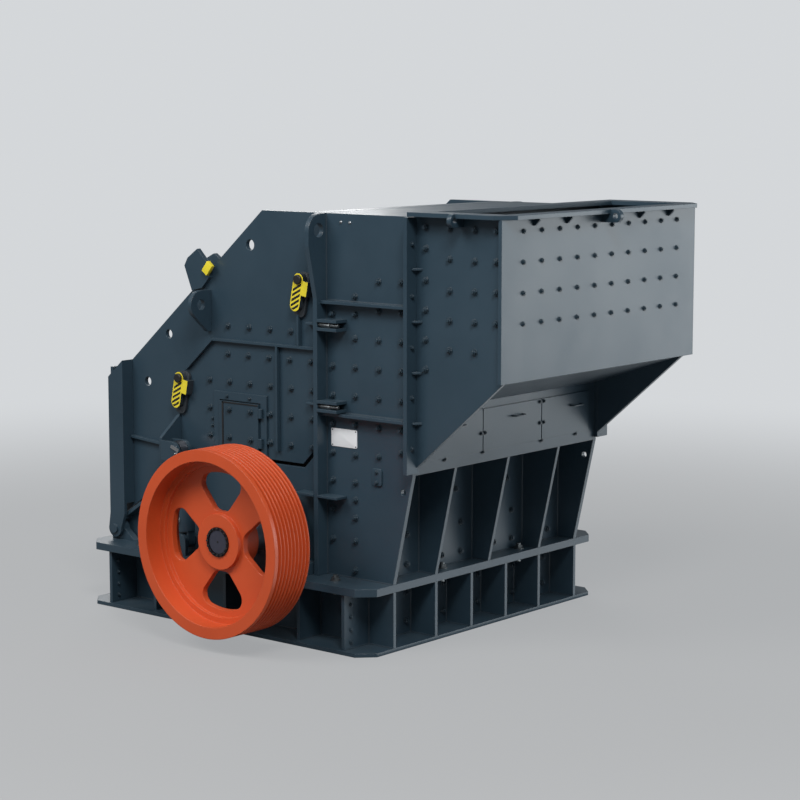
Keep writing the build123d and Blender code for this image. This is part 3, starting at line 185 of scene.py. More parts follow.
SURROUND_WHITE = (0.88, 0.94, 1.0, 1.0)
SURROUND_STRENGTH = 0.20
surround = bpy.data.worlds.new("studio_surround")
surround.use_nodes = True
scene.world = surround
sky_tree = surround.node_tree
sky_tree.nodes.clear()
sky_light = new_node(sky_tree, "ShaderNodeBackground", Color=SURROUND_WHITE, Strength=SURROUND_STRENGTH)
sky_seen = new_node(sky_tree, "ShaderNodeBackground", Color=BACKDROP)
sky_path = new_node(sky_tree, "ShaderNodeLightPath")
sky_plain = new_node(sky_tree, "ShaderNodeMath", operation="MAXIMUM")
sky_mix = new_node(sky_tree, "ShaderNodeMixShader")
sky_out = new_node(sky_tree, "ShaderNodeOutputWorld")
join_sky = wiring(sky_tree)
join_sky(sky_path, "Is Camera Ray", sky_plain, 0)
join_sky(sky_path, "Is Transmission Ray", sky_plain, 1)
join_sky(sky_plain, "Value", sky_mix, "Fac")
join_sky(sky_light, "Background", sky_mix, 1)
join_sky(sky_seen, "Background", sky_mix, 2)
join_sky(sky_mix, "Shader", sky_out, "Surface")

# Welded frame: flame-cut steel plate, blasted and sprayed with satin dark blue-grey paint. The machine is
# new, so the paint is only a little thin along the plate edges, with a faint bloom of dust on ledges. Pieces
# of another finish are dressed again in their own sections.
BEVEL_SAMPLES = 4
SHEEN_SHARE = 0.06
DUST_DULLNESS = 0.35
PEEL_SHARE = 0.35
DUST_GREY = (0.22, 0.22, 0.21, 1.0)


def add_sockets(tree, way, kind, *names):
    """Named inputs or outputs of one kind for a node group."""
    for name in names:
        tree.interface.new_socket(name, in_out=way, socket_type="NodeSocket" + kind)


def plate_ageing_group():
    """Edge wear, dust and blotches of a painted plate, from its shape and place."""
    group = bpy.data.node_groups.new("plate_ageing", "ShaderNodeTree")
    add_sockets(group, "INPUT", "Color", "Paint", "Worn Colour", "Dust Colour")
    add_sockets(group, "INPUT", "Float", "Edge Wear", "Dust", "Blotch", "Gloss Roughness", "Edge Width")
    add_sockets(group, "OUTPUT", "Color", "Colour")
    add_sockets(group, "OUTPUT", "Float", "Roughness", "Height")
    join = wiring(group)
    given = new_node(group, "NodeGroupInput")
    result = new_node(group, "NodeGroupOutput")
    place = new_node(group, "ShaderNodeTexCoord")
    shape = new_node(group, "ShaderNodeNewGeometry")

    def noise(scale, detail, roughness):
        """Cloudy noise that stays with the piece."""
        cloud = new_node(group, "ShaderNodeTexNoise", Scale=scale, Detail=detail, Roughness=roughness)
        join(place, "Object", cloud, "Vector")
        return cloud

    def spread(source, output, **levels):
        """A value spread between two levels."""
        span = new_node(group, "ShaderNodeMapRange", **levels)
        join(source, output, span, "Value")
        return span

    def product(first, second, share):
        """Two masks and one of the group's shares multiplied, within 0 and 1."""
        both = new_node(group, "ShaderNodeMath", operation="MULTIPLY")
        join(first, "Result", both, 0)
        join(second, "Result", both, 1)
        mask = new_node(group, "ShaderNodeMath", operation="MULTIPLY", use_clamp=True)
        join(both, "Value", mask, 0)
        join(given, share, mask, 1)
        return mask

    blotch = noise(2.2, 6.0, 0.62)
    blotch_span = spread(blotch, "Fac", From_Min=0.3, From_Max=0.7, To_Min=-1.0)
    blotch_gain = new_node(group, "ShaderNodeMath", operation="MULTIPLY_ADD")
    blotch_gain.inputs[2].default_value = 1.0
    join(blotch_span, "Result", blotch_gain, 0)
    join(given, "Blotch", blotch_gain, 1)
    shade = new_node(group, "ShaderNodeVectorMath", operation="SCALE")
    join(given, "Paint", shade, 0)
    join(blotch_gain, "Value", shade, "Scale")

    rounded = new_node(group, "ShaderNodeBevel", samples=BEVEL_SAMPLES)
    join(given, "Edge Width", rounded, "Radius")
    meeting = new_node(group, "ShaderNodeVectorMath", operation="DOT_PRODUCT")
    join(rounded, "Normal", meeting, 0)
    join(shape, "Normal", meeting, 1)
    edge = spread(meeting, "Value", From_Min=0.995, From_Max=0.80)
    chips = spread(noise(38.0, 5.0, 0.7), "Fac", From_Min=0.42, From_Max=0.62)
    edge_mask = product(edge, chips, "Edge Wear")

    facing = new_node(group, "ShaderNodeSeparateXYZ")
    join(shape, "Normal", facing, "Vector")
    ledge = spread(facing, "Z", From_Min=0.55, From_Max=0.95)
    drift = spread(noise(7.0, 8.0, 0.68), "Fac", From_Min=0.34, From_Max=0.72)
    dust_mask = product(ledge, drift, "Dust")

    worn = new_node(group, "ShaderNodeMix", data_type="RGBA")
    join(edge_mask, "Value", worn, "Factor")
    join(shade, "Vector", worn, "A")
    join(given, "Worn Colour", worn, "B")
    dusty = new_node(group, "ShaderNodeMix", data_type="RGBA")
    join(dust_mask, "Value", dusty, "Factor")
    join(worn, "Result", dusty, "A")
    join(given, "Dust Colour", dusty, "B")
    join(dusty, "Result", result, "Colour")

    sheen = new_node(group, "ShaderNodeMath", operation="MULTIPLY_ADD")
    sheen.inputs[1].default_value = SHEEN_SHARE
    join(blotch_span, "Result", sheen, 0)
    join(given, "Gloss Roughness", sheen, 2)
    dull = new_node(group, "ShaderNodeMath", operation="MULTIPLY_ADD", use_clamp=True)
    dull.inputs[1].default_value = DUST_DULLNESS
    join(dust_mask, "Value", dull, 0)
    join(sheen, "Value", dull, 2)
    join(dull, "Value", result, "Roughness")

    peel = new_node(group, "ShaderNodeMath", operation="MULTIPLY_ADD")
    peel.inputs[1].default_value = PEEL_SHARE
    join(blotch, "Fac", peel, 0)
    join(noise(160.0, 3.0, 0.5), "Fac", peel, 2)
    join(peel, "Value", result, "Height")
    return group


plate_ageing = plate_ageing_group()


def painted_plate(name, paint, worn, edge_wear, dust, blotch, roughness, edge_width):
    """A sprayed plate finish that uses the shared ageing."""
    finish, tree, shader = new_finish(name)
    set_values(shader, Specular_IOR_Level=0.5)
    ageing = new_node(tree, "ShaderNodeGroup", node_tree=plate_ageing)
    set_values(ageing, Paint=(*paint, 1.0), Worn_Colour=(*worn, 1.0), Dust_Colour=DUST_GREY, Dust=dust)
    set_values(ageing, Edge_Wear=edge_wear, Edge_Width=edge_width, Blotch=blotch, Gloss_Roughness=roughness)
    softened = new_node(tree, "ShaderNodeBevel", samples=BEVEL_SAMPLES, Radius=edge_width)
    bump = new_node(tree, "ShaderNodeBump", Strength=0.10, Distance=0.0006)
    join = wiring(tree)
    join(ageing, "Colour", shader, "Base Color")
    join(ageing, "Roughness", shader, "Roughness")
    join(softened, "Normal", bump, "Normal")
    join(ageing, "Height", bump, "Height")
    join(bump, "Normal", shader, "Normal")
    return finish


FRAME_BLUE = (0.026, 0.050, 0.072)
FRAME_WORN = (0.085, 0.115, 0.135)
frame_paint = painted_plate(
    "frame_paint", FRAME_BLUE, FRAME_WORN,
    edge_wear=0.45, dust=0.10, blotch=0.08, roughness=0.34, edge_width=0.004,
)


def dress(finish, *names):
    """Give CAD pieces their finish."""
    for name in names:
        mesh = nodes[name].data
        mesh.materials.clear()
        mesh.materials.append(finish)


dress(frame_paint, *nodes)

# Plate bolts: hexagon nuts with washers and stud ends that hold the wear plates inside the walls, in rows
# about 150 mm apart. They are sprayed with the frame, in a darker tone that is painted shade so that they
# read as dark dots.
SIDES = (-1.0, 1.0)
ALONG_X = (1.0, 0.0, 0.0)
ALONG_Y = (0.0, 1.0, 0.0)
UP = (0.0, 0.0, 1.0)
BACK = (-1.0, 0.0, 0.0)
NEAR = (0.0, -1.0, 0.0)
DOWN = (0.0, 0.0, -1.0)
BOLT_LABELS = ("Head Radius", "Head Height", "Washer Radius", "Washer Height", "Stud Radius", "Stud Height")
BOLT_SIDES = {"Washer": 16, "Head": 6, "Stud": 10}


def piece_tree(name, labels):
    """A Geometry Nodes tree with sizes and a finish, its join function, its first and its last node."""
    tree = bpy.data.node_groups.new(name, "GeometryNodeTree")
    add_sockets(tree, "INPUT", "Geometry", "Geometry")
    add_sockets(tree, "INPUT", "Float", *labels)
    add_sockets(tree, "INPUT", "Material", "Finish")
    add_sockets(tree, "OUTPUT", "Geometry", "Geometry")
    join = wiring(tree)
    given = new_node(tree, "NodeGroupInput")
    real = new_node(tree, "GeometryNodeRealizeInstances")
    coat = new_node(tree, "GeometryNodeSetMaterial")
    result = new_node(tree, "NodeGroupOutput")
    join(real, "Geometry", coat, "Geometry")
    join(given, "Finish", coat, "Material")
    join(coat, "Geometry", result, "Geometry")
    return tree, join, given, real


def bolt_row_tree():
    """Geometry Nodes tree that sets a nut, washer and stud on every point, turned to face outwards."""
    tree, join, given, real = piece_tree("plate_bolts", BOLT_LABELS)
    joined = new_node(tree, "GeometryNodeJoinGeometry")
    for part, sides in BOLT_SIDES.items():
        drum = new_node(tree, "GeometryNodeMeshCylinder", Vertices=sides)
        join(given, part + " Radius", drum, "Radius")
        join(given, part + " Height", drum, "Depth")
        half = new_node(tree, "ShaderNodeMath", operation="MULTIPLY")
        half.inputs[1].default_value = 0.5
        join(given, part + " Height", half, 0)
        lift = new_node(tree, "ShaderNodeCombineXYZ")
        join(half, "Value", lift, "Z")
        seat = new_node(tree, "GeometryNodeTransform")
        join(drum, "Mesh", seat, "Geometry")
        join(lift, "Vector", seat, "Translation")
        join(seat, "Geometry", joined, "Geometry")
    facing = new_node(tree, "GeometryNodeInputNamedAttribute", data_type="FLOAT_VECTOR", Name="facing")
    turn = new_node(tree, "FunctionNodeAlignRotationToVector", axis="Z")
    join(facing, "Attribute", turn, "Vector")
    spread = new_node(tree, "GeometryNodeInstanceOnPoints")
    join(given, "Geometry", spread, "Points")
    join(joined, "Geometry", spread, "Instance")
    join(turn, "Rotation", spread, "Rotation")
    join(spread, "Instances", real, "Geometry")
    return tree


bolt_tree = bolt_row_tree()
# Painted shade: the bolt colour is darker than the frame paint so that the bolts show as dark dots.
bolt_shaded_paint = painted_plate(
    "bolt_shaded_paint", (0.021, 0.040, 0.057), FRAME_WORN,
    edge_wear=0.5, dust=0.08, blotch=0.1, roughness=0.36, edge_width=0.0015,
)


def kept_piece(name, mesh, body):
    """A piece with its finished mesh that rides on a body."""
    piece = bpy.data.objects.new(name, mesh)
    scene.collection.objects.link(piece)
    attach(piece, body)


def settled_mesh(name, data, tree=None, values=None):
    """The plain mesh of a curve, or of a mesh that a Geometry Nodes tree with named inputs has grown on."""
    source = bpy.data.objects.new(name, data)
    scene.collection.objects.link(source)
    if tree:
        grow = source.modifiers.new("grow", "NODES")
        grow.node_group = tree
        for item in tree.interface.items_tree:
            if item.item_type == "SOCKET" and item.in_out == "INPUT" and item.name in values:
                grow[item.identifier] = values[item.name]
    bpy.context.view_layer.update()
    mesh = bpy.data.meshes.new_from_object(source.evaluated_get(bpy.context.evaluated_depsgraph_get()))
    bpy.data.objects.remove(source)
    bpy.data.batch_remove([data])
    mesh.name = name
    return mesh


def bolt_rows(name, rows, sizes, body="fixed_frame", finish=bolt_shaded_paint):
    """Bolts on points, each with the direction that its head faces."""
    points = bpy.data.meshes.new(name)
    points.from_pydata([point for point, way in rows], [], [])
    facing = points.attributes.new("facing", "FLOAT_VECTOR", "POINT")
    for index, (point, way) in enumerate(rows):
        facing.data[index].vector = way
    mesh = settled_mesh(name, points, bolt_tree, {**sizes, "Finish": finish})
    if "facing" in mesh.attributes:
        mesh.attributes.remove(mesh.attributes["facing"])
    kept_piece(name, mesh, body)


def both_sides(places, y):
    """Side-wall points on the near and the far side, facing out."""
    return [((x, side * y, z), (0.0, side, 0.0)) for x, z in places for side in SIDES]


def bolt(*sizes):
    """The sizes of a bolt by their labels."""
    return dict(zip(BOLT_LABELS, sizes))


def scaled_bolt(share):
    """A wall bolt at another size."""
    return {label: share * size for label, size in WALL_BOLT.items()}


WALL_BOLT = bolt(0.0155, 0.013, 0.0188, 0.003, 0.0088, 0.021)
SMALL_BOLT = scaled_bolt(0.62)
FRONT_BOLT = scaled_bolt(0.74)
LARGE_BOLT = scaled_bolt(1.45)
wall_y = -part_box("main_side_wall_near")[0].y
WALL_COLUMNS = {
    0.630: (0.545, 0.699, 0.852, 0.997, 1.144, 1.292, 1.443, 1.708),
    0.781: (0.394, 0.547, 0.668, 0.762, 0.852, 0.994, 1.150, 1.295, 1.444, 1.593, 1.714, 1.806),
    0.937: (1.001, 1.147, 1.296, 1.445, 1.593, 1.740, 1.889),
    1.085: (1.035, 1.148, 1.296, 1.446, 1.593, 1.740, 1.892),
}
wall_places = [(x, z) for x, heights in WALL_COLUMNS.items() for z in heights]
bolt_rows("wall_bolts", both_sides(wall_places, wall_y), WALL_BOLT)

# Base box: end and side webs are bolted through at the corners and in the bays, the recessed lower wall is
# bolted between the sloped ribs, and the top flange takes upright foundation bolts.
CORNER_Y = 0.940
CORNER_HEIGHTS = (0.249, 0.187, 0.120, 0.057)
WEB_PLATE = 0.020
END_BAY_PLACES = (-0.500, -0.192, 0.107, 0.420, 0.707)
END_BAY_HEIGHTS = (0.234, 0.088)
SIDE_BAY_PLACES = (-0.700, -0.360, 0.180, 0.700)
SIDE_BAY_HEIGHT = 0.165
FRONT_BAY_ENDS = (-0.450, 0.0, 0.450, 0.785)
FRONT_BAY_STEPS = ((0.110, 0.563), (0.110, 0.408), (0.266, 0.408), (0.152, 0.746))
ANCHOR_X = 0.958
ANCHOR_Y = 0.900
END_ANCHORS = (-0.310, 0.360)
SIDE_ANCHORS = (-0.700, -0.050, 0.729)
end_web_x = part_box("base_end_webs")[1].x
flange_foot_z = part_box("top_flange")[0].z
top_flange_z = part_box("top_flange")[1].z
lower_front_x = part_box("front_lower_wall")[1].x
corner_rows = []
for side in SIDES:
    for height in CORNER_HEIGHTS:
        for end in SIDES:
            corner_rows.append(((end * end_web_x, side * CORNER_Y, height), (end, 0.0, 0.0)))
            corner_rows.append(((end * (end_web_x - WEB_PLATE), side * CORNER_Y, height), (-end, 0.0, 0.0)))
bolt_rows("corner_bolts", corner_rows, SMALL_BOLT)

bay_rows = []
for place in END_BAY_PLACES:
    for height in END_BAY_HEIGHTS:
        for end in SIDES:
            bay_rows.append(((end * end_web_x, place, height), (end, 0.0, 0.0)))
bay_rows += both_sides([(place, SIDE_BAY_HEIGHT) for place in SIDE_BAY_PLACES], wall_y)
for bay_end in FRONT_BAY_ENDS:
    for step, height in FRONT_BAY_STEPS:
        bay_rows.append(((lower_front_x, bay_end - step, height), ALONG_X))
bolt_rows("bay_bolts", bay_rows, WALL_BOLT)

DARK_MARK_SHARE = 0.72
SMOOTHER = 0.08
ROUGHER = 0.10


def machined_steel(name, colour, roughness, grain):
    """Turned or ground metal with faint tool marks."""
    finish, tree, shader = new_finish(name)
    set_values(shader, Metallic=1.0)
    dark = [DARK_MARK_SHARE * part for part in colour]
    place = new_node(tree, "ShaderNodeTexCoord")
    marks = new_node(tree, "ShaderNodeTexNoise", Scale=grain, Detail=6.0, Roughness=0.6)
    tint = new_node(tree, "ShaderNodeMix", data_type="RGBA", A=(*dark, 1.0), B=(*colour, 1.0))
    span = new_node(tree, "ShaderNodeMapRange", To_Min=roughness - SMOOTHER, To_Max=roughness + ROUGHER)
    bump = new_node(tree, "ShaderNodeBump", Strength=0.15, Distance=0.0004)
    join = wiring(tree)
    join(place, "Object", marks, "Vector")
    join(marks, "Fac", tint, "Factor")
    join(tint, "Result", shader, "Base Color")
    join(marks, "Fac", span, "Value")
    join(span, "Result", shader, "Roughness")
    join(marks, "Fac", bump, "Height")
    join(bump, "Normal", shader, "Normal")
    return finish


bright_zinc = machined_steel("bright_zinc", (0.62, 0.64, 0.66), roughness=0.34, grain=150.0)
dull_zinc = machined_steel("dull_zinc", (0.22, 0.24, 0.25), roughness=0.48, grain=150.0)
anchor_spots = [(ANCHOR_X, place) for place in END_ANCHORS]
anchor_spots += [(place, side * ANCHOR_Y) for place in SIDE_ANCHORS for side in SIDES]
anchor_rows = []
for x, y in anchor_spots:
    anchor_rows.append(((x, y, top_flange_z), UP))
    anchor_rows.append(((x, y, flange_foot_z), DOWN))
bolt_rows("anchor_bolts", anchor_rows, LARGE_BOLT, finish=dull_zinc)

# Main side walls: a blank data plate on four rivets on the pulley side, and on both sides a small blanking
# cover on two screws and two bare screws under the roof edge.
SHARP_ANGLE = math.radians(35.0)
EDGE_STEPS = 2
EDGE_PROFILE = 0.6


def rounded_outline(width, height, radius, steps):
    """A rectangle about the origin with round corners."""
    points = []
    for turn, (along, rise) in enumerate(((1, 1), (-1, 1), (-1, -1), (1, -1))):
        for step in range(steps + 1):
            angle = math.pi / 2 * (turn + step / steps)
            across = along * (width / 2 - radius) + radius * math.cos(angle)
            points.append((across, rise * (height / 2 - radius) + radius * math.sin(angle)))
    return points


def add_plate(shape, outline, origin, across, up, thickness):
    """Raise a flat outline to a plate, in the direction that the two axes of its face give."""
    origin, across, up = Vector(origin), Vector(across), Vector(up)
    out = across.cross(up)
    low = [shape.verts.new(origin + across * u + up * v) for u, v in outline]
    high = [shape.verts.new(vert.co + out * thickness) for vert in low]
    shape.faces.new(list(reversed(low)))
    shape.faces.new(high)
    for index in range(len(low)):
        after = (index + 1) % len(low)
        shape.faces.new((low[index], low[after], high[after], high[index]))


def add_turned(shape, centre, axis, *parts):
    """Turn profiles of radius and distance along an axis, each with its number of sides and closed ends."""
    turn = Vector(axis).to_track_quat("Z", "Y")
    for sides, profile in parts:
        rings = []
        for radius, along in profile:
            ring = []
            for index in range(sides):
                angle = 2 * math.pi * index / sides
                spoke = Vector((radius * math.cos(angle), radius * math.sin(angle), along))
                ring.append(shape.verts.new(Vector(centre) + turn @ spoke))
            rings.append(ring)
        for lower, upper in zip(rings, rings[1:]):
            for index in range(sides):
                after = (index + 1) % sides
                shape.faces.new((lower[index], lower[after], upper[after], upper[index]))
        shape.faces.new(list(reversed(rings[0])))
        shape.faces.new(rings[-1])


def add_far_side(shape):
    """Repeat what a shape holds on the far side, mirrored."""
    copied = bmesh.ops.duplicate(shape, geom=shape.verts[:] + shape.edges[:] + shape.faces[:])
    for part in copied["geom"]:
        if isinstance(part, bmesh.types.BMVert):
            part.co.y = -part.co.y


def made_piece(shape, name, body, finish, edge=0.0):
    """Break the sharp edges of a shape and keep it as a piece that rides on a body."""
    bmesh.ops.recalc_face_normals(shape, faces=shape.faces[:])
    if edge > 0.0:
        sharp = [line for line in shape.edges if line.calc_face_angle(0.0) > SHARP_ANGLE]
        shaping = {"segments": EDGE_STEPS, "profile": EDGE_PROFILE, "clamp_overlap": True}
        bmesh.ops.bevel(shape, geom=sharp, offset=edge, affect="EDGES", **shaping)
    mesh = bpy.data.meshes.new(name)
    shape.to_mesh(mesh)
    shape.free()
    mesh.shade_smooth()
    mesh.set_sharp_from_angle(angle=SHARP_ANGLE)
    mesh.materials.append(finish)
    kept_piece(name, mesh, body)


DATA_PLATE_X = 0.7065
DATA_PLATE_Z = 1.0735
DATA_PLATE_THICKNESS = 0.003
data_outline = rounded_outline(width=0.175, height=0.094, radius=0.008, steps=4)
RIVET = bolt(0.0032, 0.0018, 0.0040, 0.0008, 0.0016, 0.0024)
RIVET_REACH = 0.079
RIVET_RISE = 0.039
plate_white = painted_plate(
    "plate_white", (0.70, 0.73, 0.76), (0.5, 0.5, 0.5),
    edge_wear=0.2, dust=0.0, blotch=0.05, roughness=0.38, edge_width=0.001,
)
data_plate = bmesh.new()
data_place = (DATA_PLATE_X, -wall_y, DATA_PLATE_Z)
add_plate(data_plate, data_outline, data_place, ALONG_X, UP, DATA_PLATE_THICKNESS)
made_piece(data_plate, "data_plate", "fixed_frame", plate_white, edge=0.0008)
rivet_y = -wall_y - DATA_PLATE_THICKNESS
plate_rivets = []
for along in (-RIVET_REACH, RIVET_REACH):
    for rise in (-RIVET_RISE, RIVET_RISE):
        plate_rivets.append(((DATA_PLATE_X + along, rivet_y, DATA_PLATE_Z + rise), NEAR))
bolt_rows("data_plate_rivets", plate_rivets, RIVET)

COVER_X = 0.930
COVER_Z = 0.895
COVER_THICKNESS = 0.010
COVER_SCREW_RISE = 0.027
cover_outline = rounded_outline(width=0.063, height=0.088, radius=0.012, steps=4)
blank_cover = bmesh.new()
add_plate(blank_cover, cover_outline, (COVER_X, -wall_y, COVER_Z), ALONG_X, UP, COVER_THICKNESS)
add_far_side(blank_cover)
made_piece(blank_cover, "blank_covers", "fixed_frame", frame_paint, edge=0.002)
cover_spots = [(COVER_X, COVER_Z + COVER_SCREW_RISE), (COVER_X, COVER_Z - COVER_SCREW_RISE)]
cover_screws = both_sides(cover_spots, wall_y + COVER_THICKNESS)
bolt_rows("cover_screws", cover_screws, SMALL_BOLT)

ROOF_SCREW = scaled_bolt(0.42)
ROOF_SCREW_PLACES = ((0.688, 2.178), (0.748, 2.177))
roof_screws = both_sides(ROOF_SCREW_PLACES, wall_y)
bolt_rows("roof_screws", roof_screws, ROOF_SCREW, finish=bright_zinc)

# Joint clamps: a threaded bar with a long nut sits between each pair of clamp plates on the joint flange and
# draws the rear frame shut. A short stop plate on the cheek meets the flange at each of them.
CLAMP_HEIGHTS = (1.237, 1.655)
CLAMP_Y = 0.858
CLAMP_BAR = (16, ((0.0095, 0.0), (0.0095, 0.128), (0.0075, 0.131)))
CLAMP_WASHER = (16, ((0.0135, 0.020), (0.0135, 0.026)))
CLAMP_NUT = (6, ((0.0135, 0.026), (0.0150, 0.029), (0.0150, 0.080)))
joint_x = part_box("joint_flanges")[1].x
clamp_nuts = bmesh.new()
for height in CLAMP_HEIGHTS:
    add_turned(clamp_nuts, (joint_x, -CLAMP_Y, height), ALONG_X, CLAMP_BAR, CLAMP_WASHER, CLAMP_NUT)
add_far_side(clamp_nuts)
made_piece(clamp_nuts, "clamp_nuts", "fixed_frame", dull_zinc, edge=0.0008)

STOP_HEIGHTS = (1.652, 1.237)
SMALL_PLATE = 0.012
SMALL_PLATE_REACH = 0.038
small_plate_y = wall_y + SMALL_PLATE_REACH
stop_outline = ((0.462, -wall_y), (0.545, -wall_y), (0.545, -small_plate_y), (0.474, -small_plate_y))


def small_plates(name, body, outline, heights):
    """Level plates of one outline at several heights on both sides."""
    plates = bmesh.new()
    for height in heights:
        add_plate(plates, outline, (0.0, 0.0, height - SMALL_PLATE / 2), ALONG_X, ALONG_Y, SMALL_PLATE)
    add_far_side(plates)
    made_piece(plates, name, body, frame_paint, edge=0.0015)


small_plates("cheek_stop_plates", "rear_frame", stop_outline, STOP_HEIGHTS)

# Feed box: two-layer steel box bolted to the wall flanges. Liner bolts show on its front and sides, flange
# bolts and small gussets stand along the joint, and its inside is lined with cast wear plates.
FEED_SIDE_COLUMNS = {
    1.242: (2.172, 2.070, 1.913, 1.766, 1.618, 1.470),
    1.392: (2.172, 2.023, 1.868, 1.721, 1.575),
    1.546: (2.170, 2.020, 1.871, 1.722, 1.576),
    1.677: (2.169, 2.022, 1.874, 1.725),
}
FEED_FRONT_COLUMNS = (0.075, 0.225, 0.375, 0.525, 0.675)
FEED_FRONT_HEIGHTS = (2.166, 2.017, 1.867, 1.718)
feed_side_y = -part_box("feed_box_side_near")[0].y
feed_front_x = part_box("feed_box_front")[1].x
feed_places = [(x, z) for x, heights in FEED_SIDE_COLUMNS.items() for z in heights]
bolt_rows("feed_side_bolts", both_sides(feed_places, feed_side_y), WALL_BOLT)
front_rows = []
for column in FEED_FRONT_COLUMNS:
    for height in FEED_FRONT_HEIGHTS:
        front_rows += [((feed_front_x, side * column, height), ALONG_X) for side in SIDES]
bolt_rows("feed_front_bolts", front_rows, FRONT_BOLT)

FLANGE_BOLT_Y = 0.836
FLANGE_BOLT_HEIGHTS = (2.089, 1.831, 1.577, 1.325, 1.070)
GUSSET_HEIGHTS = (1.964, 1.704, 1.449, 1.196)
GUSSET_NOSE = 0.008
GUSSET_LENGTH = 0.040
flange_rear_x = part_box("feed_flanges")[0].x
feed_flange_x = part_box("feed_flanges")[1].x
flange_rows = []
for height in FLANGE_BOLT_HEIGHTS:
    for side in SIDES:
        flange_rows.append(((feed_flange_x, side * FLANGE_BOLT_Y, height), ALONG_X))
        flange_rows.append(((flange_rear_x, side * FLANGE_BOLT_Y, height), BACK))
bolt_rows("feed_flange_bolts", flange_rows, FRONT_BOLT)
gusset_outline = (
    (feed_flange_x, -small_plate_y),
    (feed_flange_x + GUSSET_NOSE, -small_plate_y),
    (feed_flange_x + GUSSET_LENGTH, -wall_y),
    (feed_flange_x, -wall_y),
)
small_plates("flange_gussets", "fixed_frame", gusset_outline, GUSSET_HEIGHTS)

cast_steel = painted_plate(
    "cast_steel", (0.115, 0.108, 0.10), (0.34, 0.33, 0.32),
    edge_wear=0.6, dust=0.35, blotch=0.25, roughness=0.62, edge_width=0.006,
)
dress(cast_steel, "rotor_drum", "blow_bars", "upper_curtain", "lower_curtain")
LINER = 0.014
LINER_GAP = 0.006
LINER_CORNER = 0.004
LINER_COLUMNS = 5
LINED_HALF = 0.76
LINER_LEVELS = (1.500, 1.850, 2.200)
LINER_BOLT_REACH = 0.09
LINER_BOLT_RISE = 0.10
LINER_BOLT = {**WALL_BOLT, "Head Height": 0.009, "Stud Height": 0.004}
FLOOR_LINER = 0.26
FLOOR_LINER_PLACES = (0.135, 0.395)
FLOOR_START = Vector((1.190, 0.0, 1.2758))
FLOOR_RUN = Vector((0.9478, 0.0, 0.3187))
SIDE_LINER_EDGES = (1.190, 1.365, 1.540, 1.706)
SIDE_LINER_FOOT = 1.292
SIDE_LINER_SLOPE = 0.3363
SIDE_BOLT_SHARES = (0.25, 0.75)
liner_face_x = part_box("feed_box_front")[0].x
liner_side_y = -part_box("feed_box_side_near")[1].y
liner_span = 2 * LINED_HALF / LINER_COLUMNS
floor_outline = rounded_outline(FLOOR_LINER - LINER_GAP, liner_span - LINER_GAP, LINER_CORNER, 1)
feed_liners = bmesh.new()
liner_rows = []
for column in range(LINER_COLUMNS):
    middle = liner_span * (column + 0.5) - LINED_HALF
    for foot, top in zip(LINER_LEVELS, LINER_LEVELS[1:]):
        outline = rounded_outline(liner_span - LINER_GAP, top - foot - LINER_GAP, LINER_CORNER, 1)
        level = (foot + top) / 2
        add_plate(feed_liners, outline, (liner_face_x, middle, level), NEAR, UP, LINER)
        for along in (-LINER_BOLT_REACH, LINER_BOLT_REACH):
            for rise in (-LINER_BOLT_RISE, LINER_BOLT_RISE):
                liner_rows.append(((liner_face_x - LINER, middle + along, level + rise), BACK))
    for start in FLOOR_LINER_PLACES:
        floor_place = FLOOR_START + FLOOR_RUN * start + middle * Vector(ALONG_Y)
        add_plate(feed_liners, floor_outline, floor_place, FLOOR_RUN, ALONG_Y, LINER)
side_liners = bmesh.new()
half_gap = LINER_GAP / 2
for left, right in zip(SIDE_LINER_EDGES, SIDE_LINER_EDGES[1:]):
    sloped = [SIDE_LINER_FOOT + SIDE_LINER_SLOPE * (x - SIDE_LINER_EDGES[0]) for x in (left, right)]
    for feet, top in ((sloped, LINER_LEVELS[1]), (LINER_LEVELS[1:2] * 2, LINER_LEVELS[2])):
        outline = (
            (right - half_gap, feet[1] + half_gap),
            (left + half_gap, feet[0] + half_gap),
            (left + half_gap, top - half_gap),
            (right - half_gap, top - half_gap),
        )
        add_plate(side_liners, outline, (0.0, -liner_side_y, 0.0), ALONG_X, UP, -LINER)
        for share in SIDE_BOLT_SHARES:
            spot_z = feet[0] + (top - feet[0]) * share
            for side in SIDES:
                spot = ((left + right) / 2, side * (liner_side_y - LINER), spot_z)
                liner_rows.append((spot, (0.0, -side, 0.0)))
add_far_side(side_liners)
made_piece(feed_liners, "feed_liners", "fixed_frame", cast_steel, edge=0.002)
made_piece(side_liners, "feed_side_liners", "fixed_frame", cast_steel, edge=0.002)
bolt_rows("liner_bolts", liner_rows, LINER_BOLT, finish=cast_steel)

# Front wall: three flat inspection plates butt together above the sloped ribs. Bolt pairs hold them at the
# joints, a row of bolts runs along the foot, and each plate has a thin bent pull handle.
PLATE_JOINT_SPOTS = ((-0.234, 1.078), (0.279, 1.190), (0.279, 1.076))
PLATE_JOINT_STEP = 0.018
FOOT_BOLT_PLACES = (-0.545, -0.228, 0.285, 0.600)
FOOT_BOLT_HEIGHT = 0.979
front_plate_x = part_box("inspection_plates")[1].x
front_wall_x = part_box("front_wall")[1].x
joint_rows = []
for place, height in PLATE_JOINT_SPOTS:
    for step in (-PLATE_JOINT_STEP, PLATE_JOINT_STEP):
        joint_rows.append(((front_plate_x, place + step, height), ALONG_X))
bolt_rows("plate_joint_bolts", joint_rows, SMALL_BOLT)
foot_rows = [((front_wall_x, place, FOOT_BOLT_HEIGHT), ALONG_X) for place in FOOT_BOLT_PLACES]
bolt_rows("front_foot_bolts", foot_rows, FRONT_BOLT)

